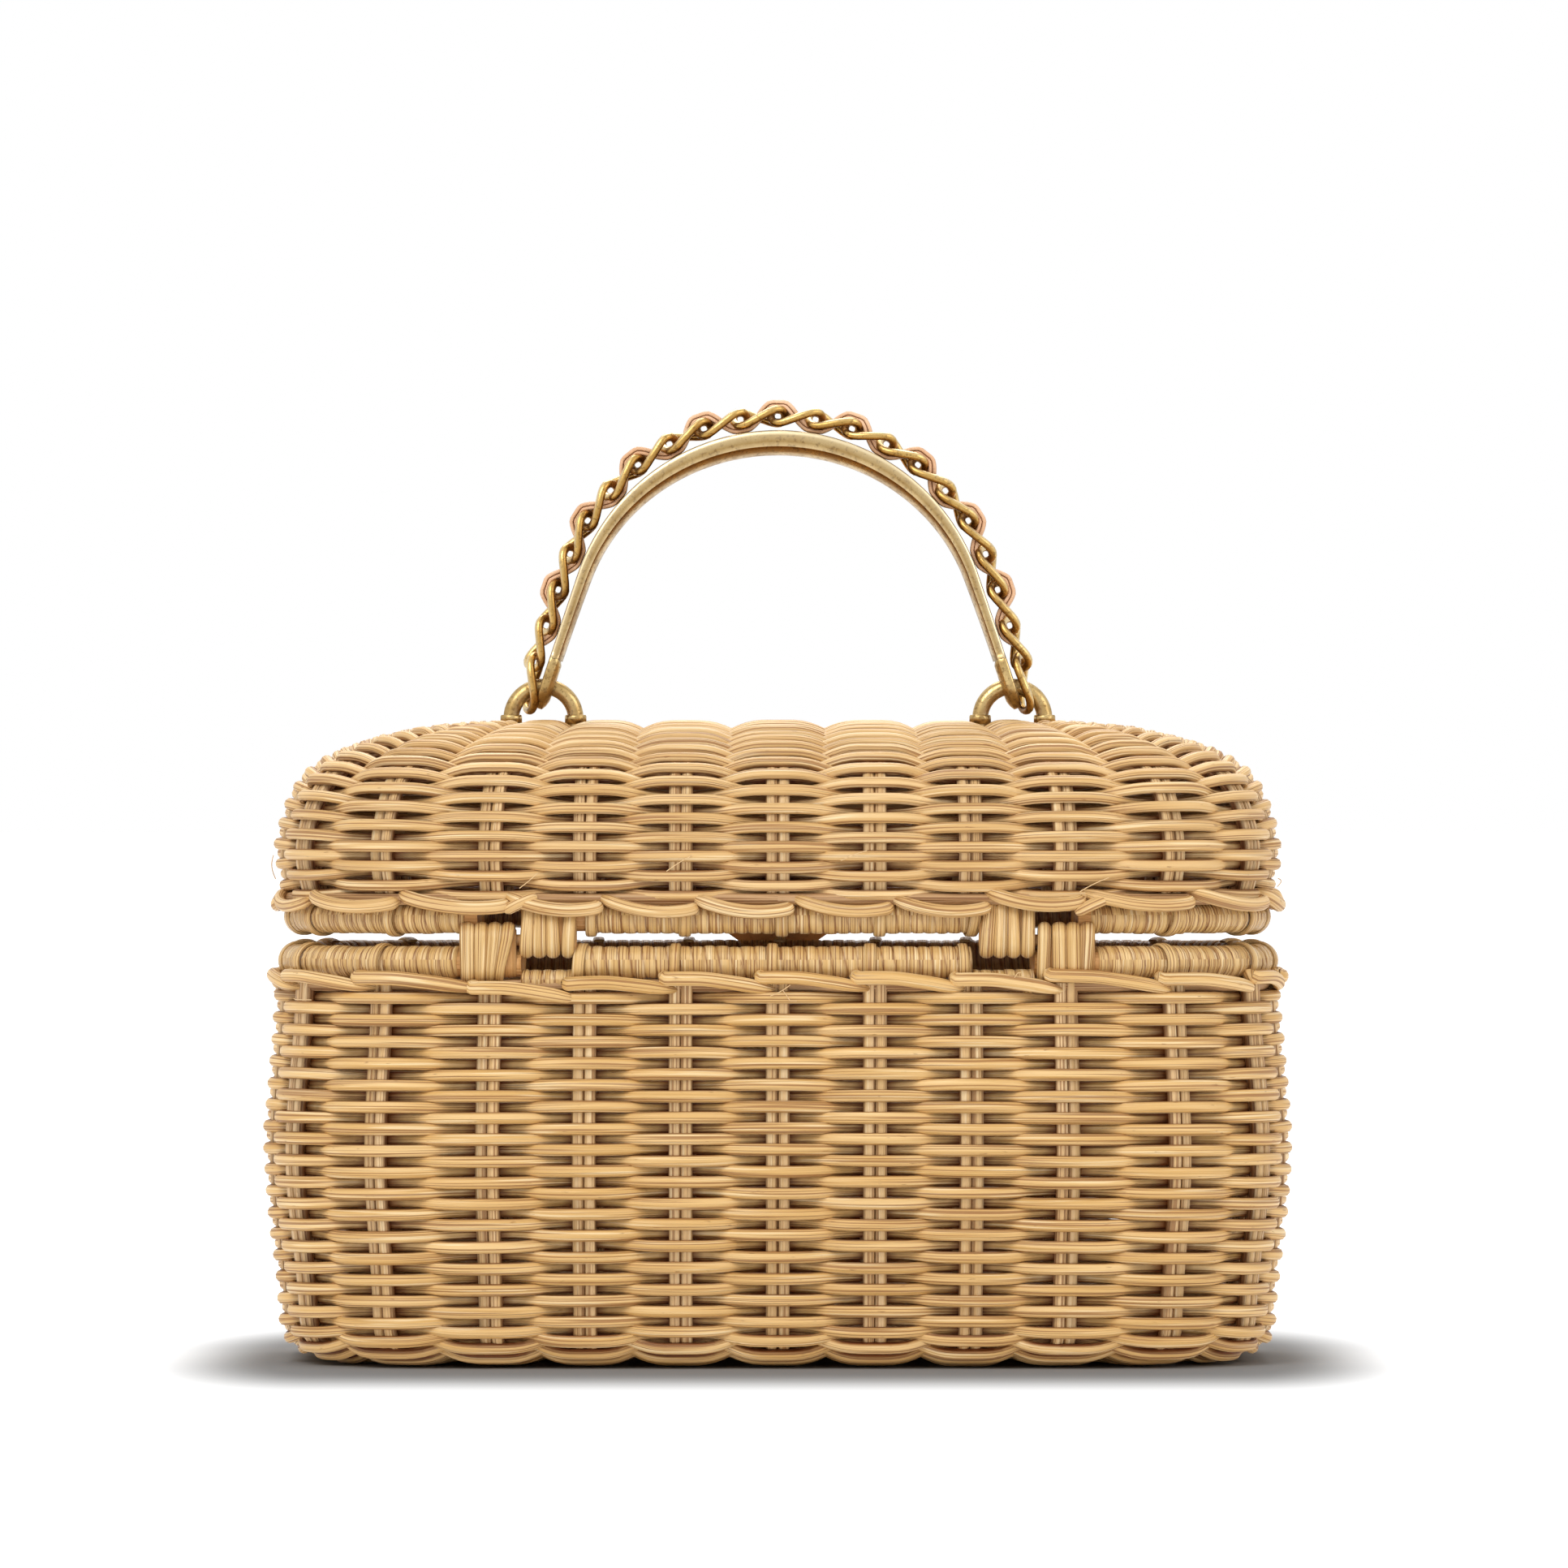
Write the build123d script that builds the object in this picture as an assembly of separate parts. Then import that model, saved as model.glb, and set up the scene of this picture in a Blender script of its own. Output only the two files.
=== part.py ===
from build123d import *
import math
import os

os.makedirs("parts", exist_ok=True)

# Rattan vanity case, in millimetres. X is the width, the hinges are on the -Y side, Z is up,
# and the origin is on the floor under the middle of the case.

# Plan of the case
case_width = 260.0
case_depth = 130.0
corner_radius = 43.0

# Weave
# Stake gaps along a quarter of the plan, from the back's middle
stake_gaps = (24.3, 24.3, 24.6, 29.5, 29.5, 22.2, 22.1)
curved_gaps = (3, 4, 5)  # those of them that lie on the corner, which get a point halfway
row_pitch = 2.71
weave_depth = 3.4  # how far a row lies further in where it passes behind a stake
wall_thickness = 7.6
wall_lean = 0.4  # how much thicker the base wall is below its neck

# Base wall: inset from the widest plan, and height
base_foot_inset = 19.0
base_curve = ((12.0, 0.9), (6.0, 4.6), (3.5, 15.0), (0.0, 50.0), (2.7, 92.6))
seat_step = 0.8  # between the wall's last row and the straight neck under the rim
floor_thickness = 6.0
floor_bend = 5.0
inner_heights = (88.0, 50.0, 16.0)

# Rims
rim_radius = 4.2
base_rim_inset = 8.7
base_rim_height = 101.4
lid_rim_radius = 4.0
lid_rim_inset = 10.2
lid_rim_height = 112.55
rim_sides = 8

# Clearances
soft_gap = 0.3  # between pieces that only lie beside each other
hole_fit = 0.05  # round a pin, a rivet or a stem

# Borders
strand_radius = 1.7
strand_sides = 6
border_lead = 1.6  # how far from a stake's middle each strand starts
base_border_top = 97.5
base_border_low = 94.9
lid_border_top = 118.0
lid_border_low = 115.0
lid_border_step = 1.0  # how much further in the lid's border lies than the base's

# Lid: inset and rise above the neck over the rim, up to the crown
lid_neck_height = 120.2
lid_neck_inset = 3.8
lid_curve = ((2.7, 6.4), (4.5, 18.8), (9.7, 28.8), (20.0, 35.3), (33.5, 39.4), (48.0, 41.5))
crown_inset = 60.0
crown_rise = 42.1
lid_thickness = 6.6
lid_inner_shares = (0.06, 0.22, 0.34, 0.44, 0.56, 0.74, 1)  # along the profile from the neck
lid_row_pitch = 2.6
gap_row = 9  # the row, counted from the neck, where light shows beside the stakes
gap_width = 2.4
gap_height = 1.8
gap_offset = 5.0  # from the stake's middle

# Hinges
pin_radius = 1.4
pin_out = 1.5  # how far the pin lies outside the base rim's centre line
pin_height = 107.1
knuckle_wall = 1.2
knuckle_pin_radius = 4.4
knuckle_from_corner = 37.2  # from where the back's straight run ends to the knuckles' inner side
knuckle_width = 14.6
knuckle_gap = 0.4
pin_short = 0.3  # how much the pin stops short of the knuckles' outer ends
knuckle_points = 5  # on each half circle of a knuckle's outline
wrap_count = 5
wrap_groove = 0.35
notch_clearance = 0.6
rim_fit = 0.03

# Rings on the crown
ring_from_end = 5.3  # from the crown line's end to the ring's middle
ring_bend = 8.2
ring_wire = 2.05
ring_pivot_rise = 8.5  # above the crown
ring_leg_below = 13.0
ring_sides = 8
ring_steps = 10
collar_radius = 2.75
collar_flange_radius = 3.3
collar_height = 1.9
collar_flange = 0.6
collar_fit = 0.2
washer_radius = 4.4
washer_thickness = 0.8
nut_across = 7.0
nut_height = 3.0

# Handle bar
bar_inside_ring = 5.95  # from the ring's middle in to the bar's flat radius
bar_arc_rise = 11.4  # from the rings' pivot up to the arc's centre
bar_arc_angle = 71.5
bar_width = 12.0
bar_thick_top = 6.3
bar_thick_end = 3.4
bar_steps = 26
bar_sides = 6
eye_thickness = 3.0
eye_radius = 6.0
eye_hole = 3.2
eye_in = 0.45  # how far the eye sits in from the bar's flat outer side

# Chain
chain_offset = 3.5
chain_wire = 1.05
link_length = 6.6
link_half_width = 3.9
link_twist = 1.2
link_count = 20
link_stations = 10
wire_sides = 5
end_link_foot = 6.1  # how far it reaches below the ring's pivot
end_link_rise = 7.9  # and above it
end_link_half_width = 5.3
end_link_twist = 1.1
end_link_out = 3.6  # from the ring's middle
end_link_overlap = 3.3

# Leather lace
lace_width = 2.8
lace_thickness = 1.2
lace_swing = 2.85
lace_fullness = 1.15  # over 1 flattens the tops of its waves
lace_steps = 4  # for each link

# Closure on the front wall
tab_width = 33.0
tongue_width = 17.0
tab_thickness = 1.8
tab_top_rise = 7.0  # above the rivets
tab_shoulder = 109.5
tab_neck = 104.0
tab_bottom = 72.0
tab_top_in = 3.0  # from the widest plan to the tab's inner face at its top
rivet_in = 2.4  # and at the rivets
tab_corner = 2.8
tongue_corner = 4.5
rim_notch_width = 21.0
rim_notch_depth = 3.0
knob_height = 82.0
knob_plate_width = 24.0
knob_plate_height = 13.0
knob_plate_thickness = 1.0
back_plate_gap = 0.6  # from the wall's thickness to the plate inside, where the wall leans
plate_stand_off = 0.2  # between the wall's outermost reed and the plate
slot_width = 12.2
slot_height = 5.4
knob_head_length = 11.0
knob_head_height = 4.4
knob_head_thickness = 2.6
knob_stem_radius = 1.9
knob_collar_radius = 2.9
knob_collar_length = 2.0
knob_pin_radius = 1.0
knob_pin_x = 9.0
rivet_radius = 1.3
rivet_head_radius = 3.0
rivet_head_thickness = 1.0
rivet_back_gap = 1.2  # from the lid's thickness to the head inside, where the wall leans
rivet_x = 10.0
rivet_rise = 6.8  # above the lid's neck

half_depth = case_depth / 2
spine_half = (case_width - case_depth) / 2
straight_long = case_width / 2 - corner_radius
straight_end = half_depth - corner_radius
corner_arc = corner_radius * math.pi / 2
quarter = straight_long + corner_arc + straight_end
spine_reach = 0.4 * case_width  # past this distance from the middle the stakes all run to the crown line's end
crown_height = lid_neck_height + crown_rise
knuckle_inner_x = straight_long - knuckle_from_corner
ring_x = spine_half - ring_from_end
ring_pivot_height = crown_height + ring_pivot_rise
bar_flat_radius = ring_x - bar_inside_ring
bar_arc_height = ring_pivot_height + bar_arc_rise
end_link_x = ring_x + end_link_out
rivet_height = lid_neck_height + rivet_rise
tab_top = rivet_height + tab_top_rise
tab_top_y = half_depth - tab_top_in
rivet_y = half_depth - rivet_in


def outline_point(distance):
    # The widest plan, from the back's middle towards the right end and so round
    lap, rest = divmod(distance, quarter)
    lap = int(lap) % 4
    if lap % 2:
        rest = quarter - rest
    if rest < straight_long:
        x, y = rest, -half_depth
    elif rest < straight_long + corner_arc:
        turn = (rest - straight_long) / corner_radius
        x = straight_long + corner_radius * math.sin(turn)
        y = -straight_end - corner_radius * math.cos(turn)
    else:
        x, y = case_width / 2, rest - quarter
    return (x if lap < 2 else -x), (y if lap in (0, 3) else -y)


def spine_point(x):
    # Where the stake that starts at x reaches the crown line
    return math.copysign(spine_half * math.sin(math.pi / 2 * min(abs(x) / spine_reach, 1)), x)


def stake_places():
    # Each stake's distance round the plan, with the gap after it and whether that gap is on a corner
    scale = quarter / sum(stake_gaps)
    order = list(range(len(stake_gaps)))
    distance = 0.0
    places = []
    for number in (order + order[::-1]) * 2:
        gap = stake_gaps[number] * scale
        places.append((distance, gap, number in curved_gaps))
        distance += gap
    return places


stakes = stake_places()


def weave_stations():
    columns = []
    for number, (distance, gap, curved) in enumerate(stakes):
        columns.append((*outline_point(distance), number))
        if curved:
            columns.append((*outline_point(distance + gap / 2), None))
    return columns


def border_stations():
    # Each strand starts high at its stake and ends low before the next; the tag is how far it has come
    columns = []
    for distance, gap, curved in stakes:
        for share in (0, 0.5, 1) if curved else (0, 1):
            at = distance + border_lead + (gap - 2 * border_lead) * share
            columns.append((*outline_point(at), share))
    return columns


def swag_stations():
    columns = []
    for distance, gap, _ in stakes:
        columns.append((*outline_point(distance), 0))
        columns.append((*outline_point(distance + gap / 2), 1))
    return columns


weave_columns = weave_stations()


def plan_point(column, inset, height):
    # A stake's path in plan is a straight line from the widest plan to the crown line
    x, y = column[0], column[1]
    share = 1 - inset / half_depth
    foot = spine_point(x)
    return Vector(foot + (x - foot) * share, y * share, height)


def ring(inset, height):
    return [plan_point(column, inset, height) for column in weave_columns]


def woven_ring(row, phase):
    # A row of the weave passes in front of one stake and behind the next
    inset, height, outward = row
    points = []
    for column in weave_columns:
        depth = weave_depth / 2
        if column[2] is not None:
            depth = weave_depth * ((column[2] + phase) % 2)
        points.append(plan_point(column, inset - outward[0] * depth, height - outward[1] * depth))
    return points


def flat(points):
    a, b, c, d = points
    normal = (b - a).cross(c - a)
    return abs(normal.dot(d - a)) < 1e-6 * normal.length


def facet(points, out):
    kept = [p for i, p in enumerate(points) if (p - points[i - 1]).length > 1e-6]
    if len(kept) > 2:
        out.append(Face(Wire.make_polygon(kept, close=True)))


def panel(a, b, c, d, out, cross):
    # One flat panel, or two triangles that meet on the diagonal a-c, or b-d where cross is set
    if flat((a, b, c, d)):
        facet((a, b, c, d), out)
    elif cross:
        facet((b, c, d), out)
        facet((b, d, a), out)
    else:
        facet((a, b, c), out)
        facet((a, c, d), out)


def skin(rings, closed=False, crosses=None):
    # A solid whose surface runs over a row of rings with equal numbers of points
    faces = []
    count = len(rings[0])
    spans = len(rings) if closed else len(rings) - 1
    for j in range(spans):
        low = rings[j]
        high = rings[(j + 1) % len(rings)]
        for i in range(count):
            k = (i + 1) % count
            cross = crosses is not None and crosses(i, j)
            panel(low[i], low[k], high[k], high[i], faces, cross)
    if not closed:
        facet(rings[0][::-1], faces)
        facet(rings[-1], faces)
    return Solid(Shell(faces))


def weave_cross(first_phase):
    # The diagonal of each panel joins the two places where a row lies furthest out
    def crosses(i, j):
        tag = weave_columns[i][2]
        if tag is None:
            return (weave_columns[(i + 1) % len(weave_columns)][2] + first_phase + j) % 2 == 0
        return (tag + first_phase + j) % 2 == 1

    return crosses


def profile_row(curve, distance):
    # A point of a wall's profile, as inset and height, with the outward direction there
    at = min(distance, curve.length)
    point = curve.position_at(at, PositionMode.LENGTH)
    run = curve.tangent_at(at, PositionMode.LENGTH)
    return point.X, point.Y, (-run.Y, run.X)


def inset_at(curve, height, low, high):
    # The inset where the profile passes a height, between two distances along it
    for _ in range(30):
        middle = (low + high) / 2
        if curve.position_at(middle, PositionMode.LENGTH).Y < height:
            low = middle
        else:
            high = middle
    return curve.position_at(low, PositionMode.LENGTH).X


def rod(x, y, z, radius, length, direction):
    # A round rod centred on a point, along "X", "Y" or "Z"
    turn = {"X": (0, 90, 0), "Y": (90, 0, 0), "Z": (0, 0, 0)}[direction]
    return Location((x, y, z), turn) * Cylinder(radius, length)


def save(part, name):
    part.label = name
    export_step(part, f"parts/{name}.step")


# Heights and places that several pieces share
base_wall_top = base_rim_height - rim_radius
lid_wall_foot = lid_rim_height + lid_rim_radius
base_rim_y = base_rim_inset - half_depth
lid_rim_y = lid_rim_inset - half_depth
pin_y = base_rim_y - pin_out
knuckle_middle = {
    "lid": knuckle_inner_x + knuckle_width / 2,
    "base": knuckle_inner_x + knuckle_width * 1.5 + knuckle_gap,
}
sides = {"left": -1, "right": 1}
base_knuckle_radius = rim_radius + knuckle_wall
lid_knuckle_radius = lid_rim_radius + knuckle_wall
border_inset = base_rim_inset - rim_radius - strand_radius
neck_inset = border_inset + strand_radius + soft_gap


def knuckle_cut(kind, room_radius, y, z):
    # Room along the hinge line for the knuckles of one kind, left and right
    length = knuckle_width + 2 * soft_gap
    return [rod(s * knuckle_middle[kind], y, z, room_radius, length, "X") for s in sides.values()]


# Base basket
base_profile = Spline((base_foot_inset, 0), *base_curve)
base_rows = round(base_profile.length / row_pitch)
base_step = base_profile.length / base_rows
base_phase = (base_rows - 1) % 2  # the top row passes in front of the stake in the back's middle


def base_inset(height):
    return inset_at(base_profile, height, base_profile.length * 0.2, base_profile.length)


def base_skin():
    outer = [ring(base_foot_inset, 0)]
    for number in range(base_rows):
        outer.append(woven_ring(profile_row(base_profile, base_step * (number + 1)), number + base_phase))
    outer.append(ring(neck_inset, base_curve[-1][1] + seat_step))
    outer.append(ring(neck_inset, base_wall_top))
    inner = [ring(neck_inset + wall_thickness, base_wall_top)]
    for height in inner_heights:
        inner.append(ring(base_inset(height) + wall_thickness + wall_lean, height))
    foot = base_inset(inner_heights[-1]) + wall_thickness + floor_bend
    inner.append(ring(foot, floor_thickness + floor_bend))
    inner.append(ring(base_foot_inset + floor_bend, floor_thickness))
    return skin(outer + inner, crosses=weave_cross(base_phase + 1))


knob_wall_y = half_depth - base_inset(knob_height - knob_plate_height / 2) + plate_stand_off


def pin_holes(y, length):
    radius = knob_pin_radius + hole_fit
    return [rod(s * knob_pin_x, y, knob_height, radius, length, "Y") for s in sides.values()]


def rivet_holes(y, length):
    radius = rivet_radius + hole_fit
    return [rod(s * rivet_x, y, rivet_height, radius, length, "Y") for s in sides.values()]


def make_base_basket():
    cuts = knuckle_cut("base", base_knuckle_radius + soft_gap, base_rim_y, base_rim_height)
    through = 3 * wall_thickness
    cuts.append(rod(0, knob_wall_y, knob_height, knob_collar_radius + soft_gap, through, "Y"))
    cuts += pin_holes(knob_wall_y, through)
    return base_skin().cut(*cuts)


# Rims and borders
def hoop(inset, height, radius):
    corner = radius / math.cos(math.pi / rim_sides)
    rings = []
    for number in range(rim_sides):
        turn = 2 * math.pi * (number + 0.5) / rim_sides
        rings.append(ring(inset + corner * math.cos(turn), height + corner * math.sin(turn)))
    return skin(rings, closed=True)


def make_base_rim():
    reach = knuckle_pin_radius + notch_clearance
    cuts = knuckle_cut("lid", reach, pin_y, pin_height)
    notch_y = half_depth - base_rim_inset
    notch = Box(rim_notch_width, 4 * rim_radius, 2 * rim_notch_depth)
    cuts.append(Location((0, notch_y, base_rim_height + rim_radius)) * notch)
    return hoop(base_rim_inset, base_rim_height, rim_radius).cut(*cuts)


def make_lid_rim():
    reach = knuckle_pin_radius + notch_clearance
    cuts = knuckle_cut("base", reach, pin_y, pin_height)
    return hoop(lid_rim_inset, lid_rim_height, lid_rim_radius).cut(*cuts)


def strand_ring(columns, inset, top, low):
    # A strand that falls from top to low with each station's share
    rings = []
    for number in range(strand_sides):
        turn = 2 * math.pi * number / strand_sides
        points = []
        for column in columns:
            height = top + (low - top) * column[2]
            out = inset + strand_radius * math.cos(turn)
            points.append(plan_point(column, out, height + strand_radius * math.sin(turn)))
        rings.append(points)
    return skin(rings, closed=True)


def make_base_border():
    cuts = knuckle_cut("base", base_knuckle_radius + soft_gap, base_rim_y, base_rim_height)
    strand = strand_ring(border_stations(), border_inset, base_border_top, base_border_low)
    return strand.cut(*cuts)


def make_lid_border():
    cuts = knuckle_cut("lid", lid_knuckle_radius + soft_gap, lid_rim_y, lid_rim_height)
    strand = strand_ring(swag_stations(), lid_border_inset, lid_border_top, lid_border_low)
    return strand.cut(*cuts)


# Lid basket
lid_border_inset = border_inset + lid_border_step
lid_neck = lid_border_inset + strand_radius + soft_gap
lid_profile = Spline(
    (lid_neck_inset, lid_neck_height),
    *[(inset, lid_neck_height + rise) for inset, rise in lid_curve],
    (crown_inset, crown_height),
    tangents=((-0.25, 1), (1, 0.03)),
)


def lid_rows():
    count = round(lid_profile.length / lid_row_pitch)
    step = lid_profile.length / count
    return [profile_row(lid_profile, step * number) for number in range(count)]


def lid_inner_row(share):
    inset, height, outward = profile_row(lid_profile, lid_profile.length * share)
    return ring(inset - outward[0] * lid_thickness, height - outward[1] * lid_thickness)


def lid_skin():
    rows = lid_rows()
    outer = [ring(crown_inset, crown_height)]
    outer += [woven_ring(row, number) for number, row in reversed(list(enumerate(rows)))]
    outer.append(ring(lid_neck, lid_neck_height - seat_step))
    outer.append(ring(lid_neck, lid_wall_foot))
    inner = [ring(lid_neck + lid_thickness, lid_wall_foot)]
    inner += [lid_inner_row(share) for share in lid_inner_shares]
    return skin(outer + inner, crosses=weave_cross(len(rows)))


def gap_cutters():
    # Small openings on both sides of each stake, through the wall
    inset, height, outward = profile_row(lid_profile, lid_row_pitch * (gap_row + 0.5))
    columns = weave_columns
    cutter = Box(gap_width, gap_height, 4 * lid_thickness)
    found = []
    for i, column in enumerate(columns):
        if column[2] is None:
            continue
        middle = plan_point(column, inset, height)
        before = plan_point(columns[i - 1], inset, height)
        after = plan_point(columns[(i + 1) % len(columns)], inset, height)
        along = (after - before).normalized()
        normal = along.cross(Vector(0, 0, 1)) * -outward[0] + Vector(0, 0, outward[1])
        for side in (-1, 1):
            place = Plane(middle + along * (side * gap_offset), x_dir=along, z_dir=normal)
            found.append(place.location * cutter)
    return found


def make_lid_basket():
    cuts = gap_cutters()
    cuts += knuckle_cut("lid", lid_knuckle_radius + soft_gap, lid_rim_y, lid_rim_height)
    for x in ring_leg_places():
        cuts.append(rod(x, 0, crown_height, ring_wire + soft_gap, 4 * lid_thickness, "Z"))
    cuts += rivet_holes(half_depth, 6 * lid_thickness)
    return lid_skin().cut(*cuts)


# Hinge knuckles and pins
def stadium(x, near, far, near_radius, far_radius):
    # A ring round two centres in the plane at x, with half a circle of points at each
    run = math.atan2(far[1] - near[1], far[0] - near[0])
    points = []
    ends = ((near, near_radius, run + math.pi / 2), (far, far_radius, run - math.pi / 2))
    for centre, radius, first in ends:
        for number in range(knuckle_points):
            turn = first + math.pi * number / (knuckle_points - 1)
            y = centre[0] + radius * math.cos(turn)
            points.append(Vector(x, y, centre[1] + radius * math.sin(turn)))
    return points


def knuckle(kind, side):
    # Round wraps side by side over the rim and the pin, with a groove between each two
    rim_at = (base_rim_y, base_rim_height) if kind == "base" else (lid_rim_y, lid_rim_height)
    rim = rim_radius if kind == "base" else lid_rim_radius
    pin_at = (pin_y, pin_height)
    outer = rim + knuckle_wall
    start = side * knuckle_middle[kind] - knuckle_width / 2
    rings = []
    for number in range(2 * wrap_count + 1):
        depth = 0 if number % 2 else wrap_groove
        x = start + knuckle_width * number / (2 * wrap_count)
        rings.append(stadium(x, rim_at, pin_at, outer - depth, knuckle_pin_radius - depth))
    bore = pin_radius + (hole_fit if kind == "lid" else 0)
    middle = side * knuckle_middle[kind]
    pin_hole = rod(middle, *pin_at, bore, 2 * knuckle_width, "X")
    across = 2 * (rim + rim_fit)
    section = RegularPolygon(across / 2, rim_sides, major_radius=False, rotation=180 / rim_sides)
    rim_hole = extrude(Plane.YZ * section, knuckle_width, both=True)
    rim_hole = Location((middle, *rim_at)) * rim_hole
    return skin(rings).cut(pin_hole, rim_hole)


def make_pin(side):
    length = 2 * knuckle_width + knuckle_gap
    middle = side * (knuckle_inner_x + length / 2)
    return rod(middle, pin_y, pin_height, pin_radius, length - 2 * pin_short, "X")


# Rings, collars, washers and nuts on the crown
ring_centre_height = ring_pivot_height - ring_bend


def ring_leg_places():
    return [s * ring_x + leg * ring_bend for s in sides.values() for leg in (-1, 1)]


def tube_ring(centre, across, up, radius, count):
    # A ring of points round a centre, in the plane of two directions
    points = []
    for number in range(count):
        turn = 2 * math.pi * (number + 0.5) / count
        points.append(centre + across * (radius * math.cos(turn)) + up * (radius * math.sin(turn)))
    return points


def make_ring(side):
    foot = ring_centre_height - ring_leg_below
    y_axis = Vector(0, 1, 0)
    stations = [(Vector(side * ring_x - ring_bend, 0, foot), Vector(-1, 0, 0))]
    for number in range(ring_steps + 1):
        turn = math.pi * number / ring_steps
        out = Vector(-math.cos(turn), 0, math.sin(turn))
        stations.append((Vector(side * ring_x, 0, ring_centre_height) + out * ring_bend, out))
    stations.append((Vector(side * ring_x + ring_bend, 0, foot), Vector(1, 0, 0)))
    return skin([tube_ring(at, out, y_axis, ring_wire, ring_sides) for at, out in stations])


def make_collars():
    found = []
    for x in ring_leg_places():
        flange = rod(x, 0, crown_height + collar_flange / 2, collar_flange_radius, collar_flange, "Z")
        tube = rod(x, 0, crown_height + collar_height / 2, collar_radius, collar_height, "Z")
        bore = rod(x, 0, crown_height, ring_wire + collar_fit, 4 * collar_height, "Z")
        found.append((flange + tube) - bore)
    return Compound(children=found)


crown_inside = crown_height - lid_thickness - soft_gap


def make_washers():
    found = []
    for x in ring_leg_places():
        disc = rod(x, 0, crown_inside - washer_thickness / 2, washer_radius, washer_thickness, "Z")
        found.append(disc - rod(x, 0, crown_inside, ring_wire + collar_fit, 4 * washer_thickness, "Z"))
    return Compound(children=found)


def make_nuts():
    found = []
    top = crown_inside - washer_thickness
    for x in ring_leg_places():
        section = RegularPolygon(nut_across / 2, 6, major_radius=False)
        nut = Location((x, 0, top - nut_height)) * extrude(section, nut_height)
        found.append(nut - rod(x, 0, top, ring_wire + collar_fit, 4 * nut_height, "Z"))
    return Compound(children=found)


# Handle bar
def handle_frame(distance, radius):
    # A place on the handle's curve, from its top: the point, the way along and the way out
    turn = math.radians(bar_arc_angle)
    arc = radius * turn
    angle = max(-turn, min(turn, distance / radius))
    out = Vector(math.sin(angle), 0, math.cos(angle))
    run = Vector(math.cos(angle), 0, -math.sin(angle))
    past = distance - max(-arc, min(arc, distance))
    return Vector(0, 0, bar_arc_height) + out * radius + run * past, run, out


def handle_length(radius, height):
    # The distance from the handle's top to where its leg reaches a height
    turn = math.radians(bar_arc_angle)
    drop = bar_arc_height + radius * math.cos(turn) - height
    return radius * turn + drop / math.sin(turn)


bar_length = handle_length(bar_flat_radius, ring_pivot_height)
eye_x = handle_frame(bar_length, bar_flat_radius)[0].X - bar_thick_end / 2 - eye_in


def make_bar():
    rings = []
    for number in range(bar_steps + 1):
        share = 2 * number / bar_steps - 1
        origin, _, out = handle_frame(share * bar_length, bar_flat_radius)
        thinning = (1 - math.cos(math.pi * abs(share))) / 2
        thick = bar_thick_top + (bar_thick_end - bar_thick_top) * thinning
        points = []
        for part in range(bar_sides + 1):
            turn = math.pi * part / bar_sides
            y = bar_width / 2 * math.cos(turn)
            points.append(origin - out * (thick * math.sin(turn)) + Vector(0, y, 0))
        rings.append(points)
    bar = skin(rings)
    for side in sides.values():
        eye = rod(side * eye_x, 0, ring_pivot_height, eye_radius, eye_thickness, "X")
        bar = bar + eye - rod(side * eye_x, 0, ring_pivot_height, eye_hole, 4 * eye_thickness, "X")
    return bar


# Chain
chain_radius = bar_flat_radius + chain_offset


def twisted_link(centre, run, out, half_length, half_width, twist):
    # A wire round a long loop, tilted at its two ends so that the next link can pass through
    across = out.cross(run)
    rings = []
    for number in range(link_stations):
        turn = 2 * math.pi * number / link_stations
        point = run * (half_length * math.cos(turn)) + across * (half_width * math.sin(turn))
        point = centre + point - out * (twist * math.sin(2 * turn))
        way = run * (-half_length * math.sin(turn)) + across * (half_width * math.cos(turn))
        way = (way - out * (2 * twist * math.cos(2 * turn))).normalized()
        side = way.cross(out).normalized()
        rings.append(tube_ring(point, side, side.cross(way), chain_wire, wire_sides))
    return skin(rings, closed=True)


end_link_low = Vector(end_link_x, 0, ring_pivot_height - end_link_foot)
end_link_high_z = ring_pivot_height + end_link_rise
chain_end = handle_length(chain_radius, end_link_high_z)
chain_half = chain_end - end_link_overlap
link_pitch = 2 * chain_half / (link_count - 1)


def make_link(number):
    place = handle_frame(-chain_half + number * link_pitch, chain_radius)
    return twisted_link(*place, link_length, link_half_width, link_twist)


def make_end_link(side):
    high = handle_frame(chain_end, chain_radius)[0]
    low = Vector(side * end_link_low.X, 0, end_link_low.Z)
    high = Vector(side * high.X, 0, high.Z)
    run = (high - low).normalized() * -side
    out = Vector(0, 1, 0).cross(run) * -1
    centre = (low + high) * 0.5
    half = (high - low).length / 2
    return twisted_link(centre, run, out, half, end_link_half_width, end_link_twist)


# Leather lace
def make_lace():
    rings = []
    for number in range((link_count - 1) * lace_steps + 1):
        along = number / lace_steps
        distance = -chain_half + along * link_pitch
        origin, run, out = handle_frame(distance, chain_radius)
        wave = math.sin(math.pi * along)
        swing = lace_swing * math.copysign(min(1, lace_fullness * abs(wave)), wave)
        slope = lace_swing * math.pi / link_pitch * math.cos(math.pi * along)
        up = (out - run * slope).normalized() * (lace_thickness / 2)
        side = Vector(0, lace_width / 2, 0)
        middle = origin + out * swing
        rings.append([middle + up + side, middle + up - side, middle - up - side, middle - up + side])
    return skin(rings)


# Closure
tab_low_y = knob_wall_y + knob_plate_thickness + soft_gap


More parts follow.
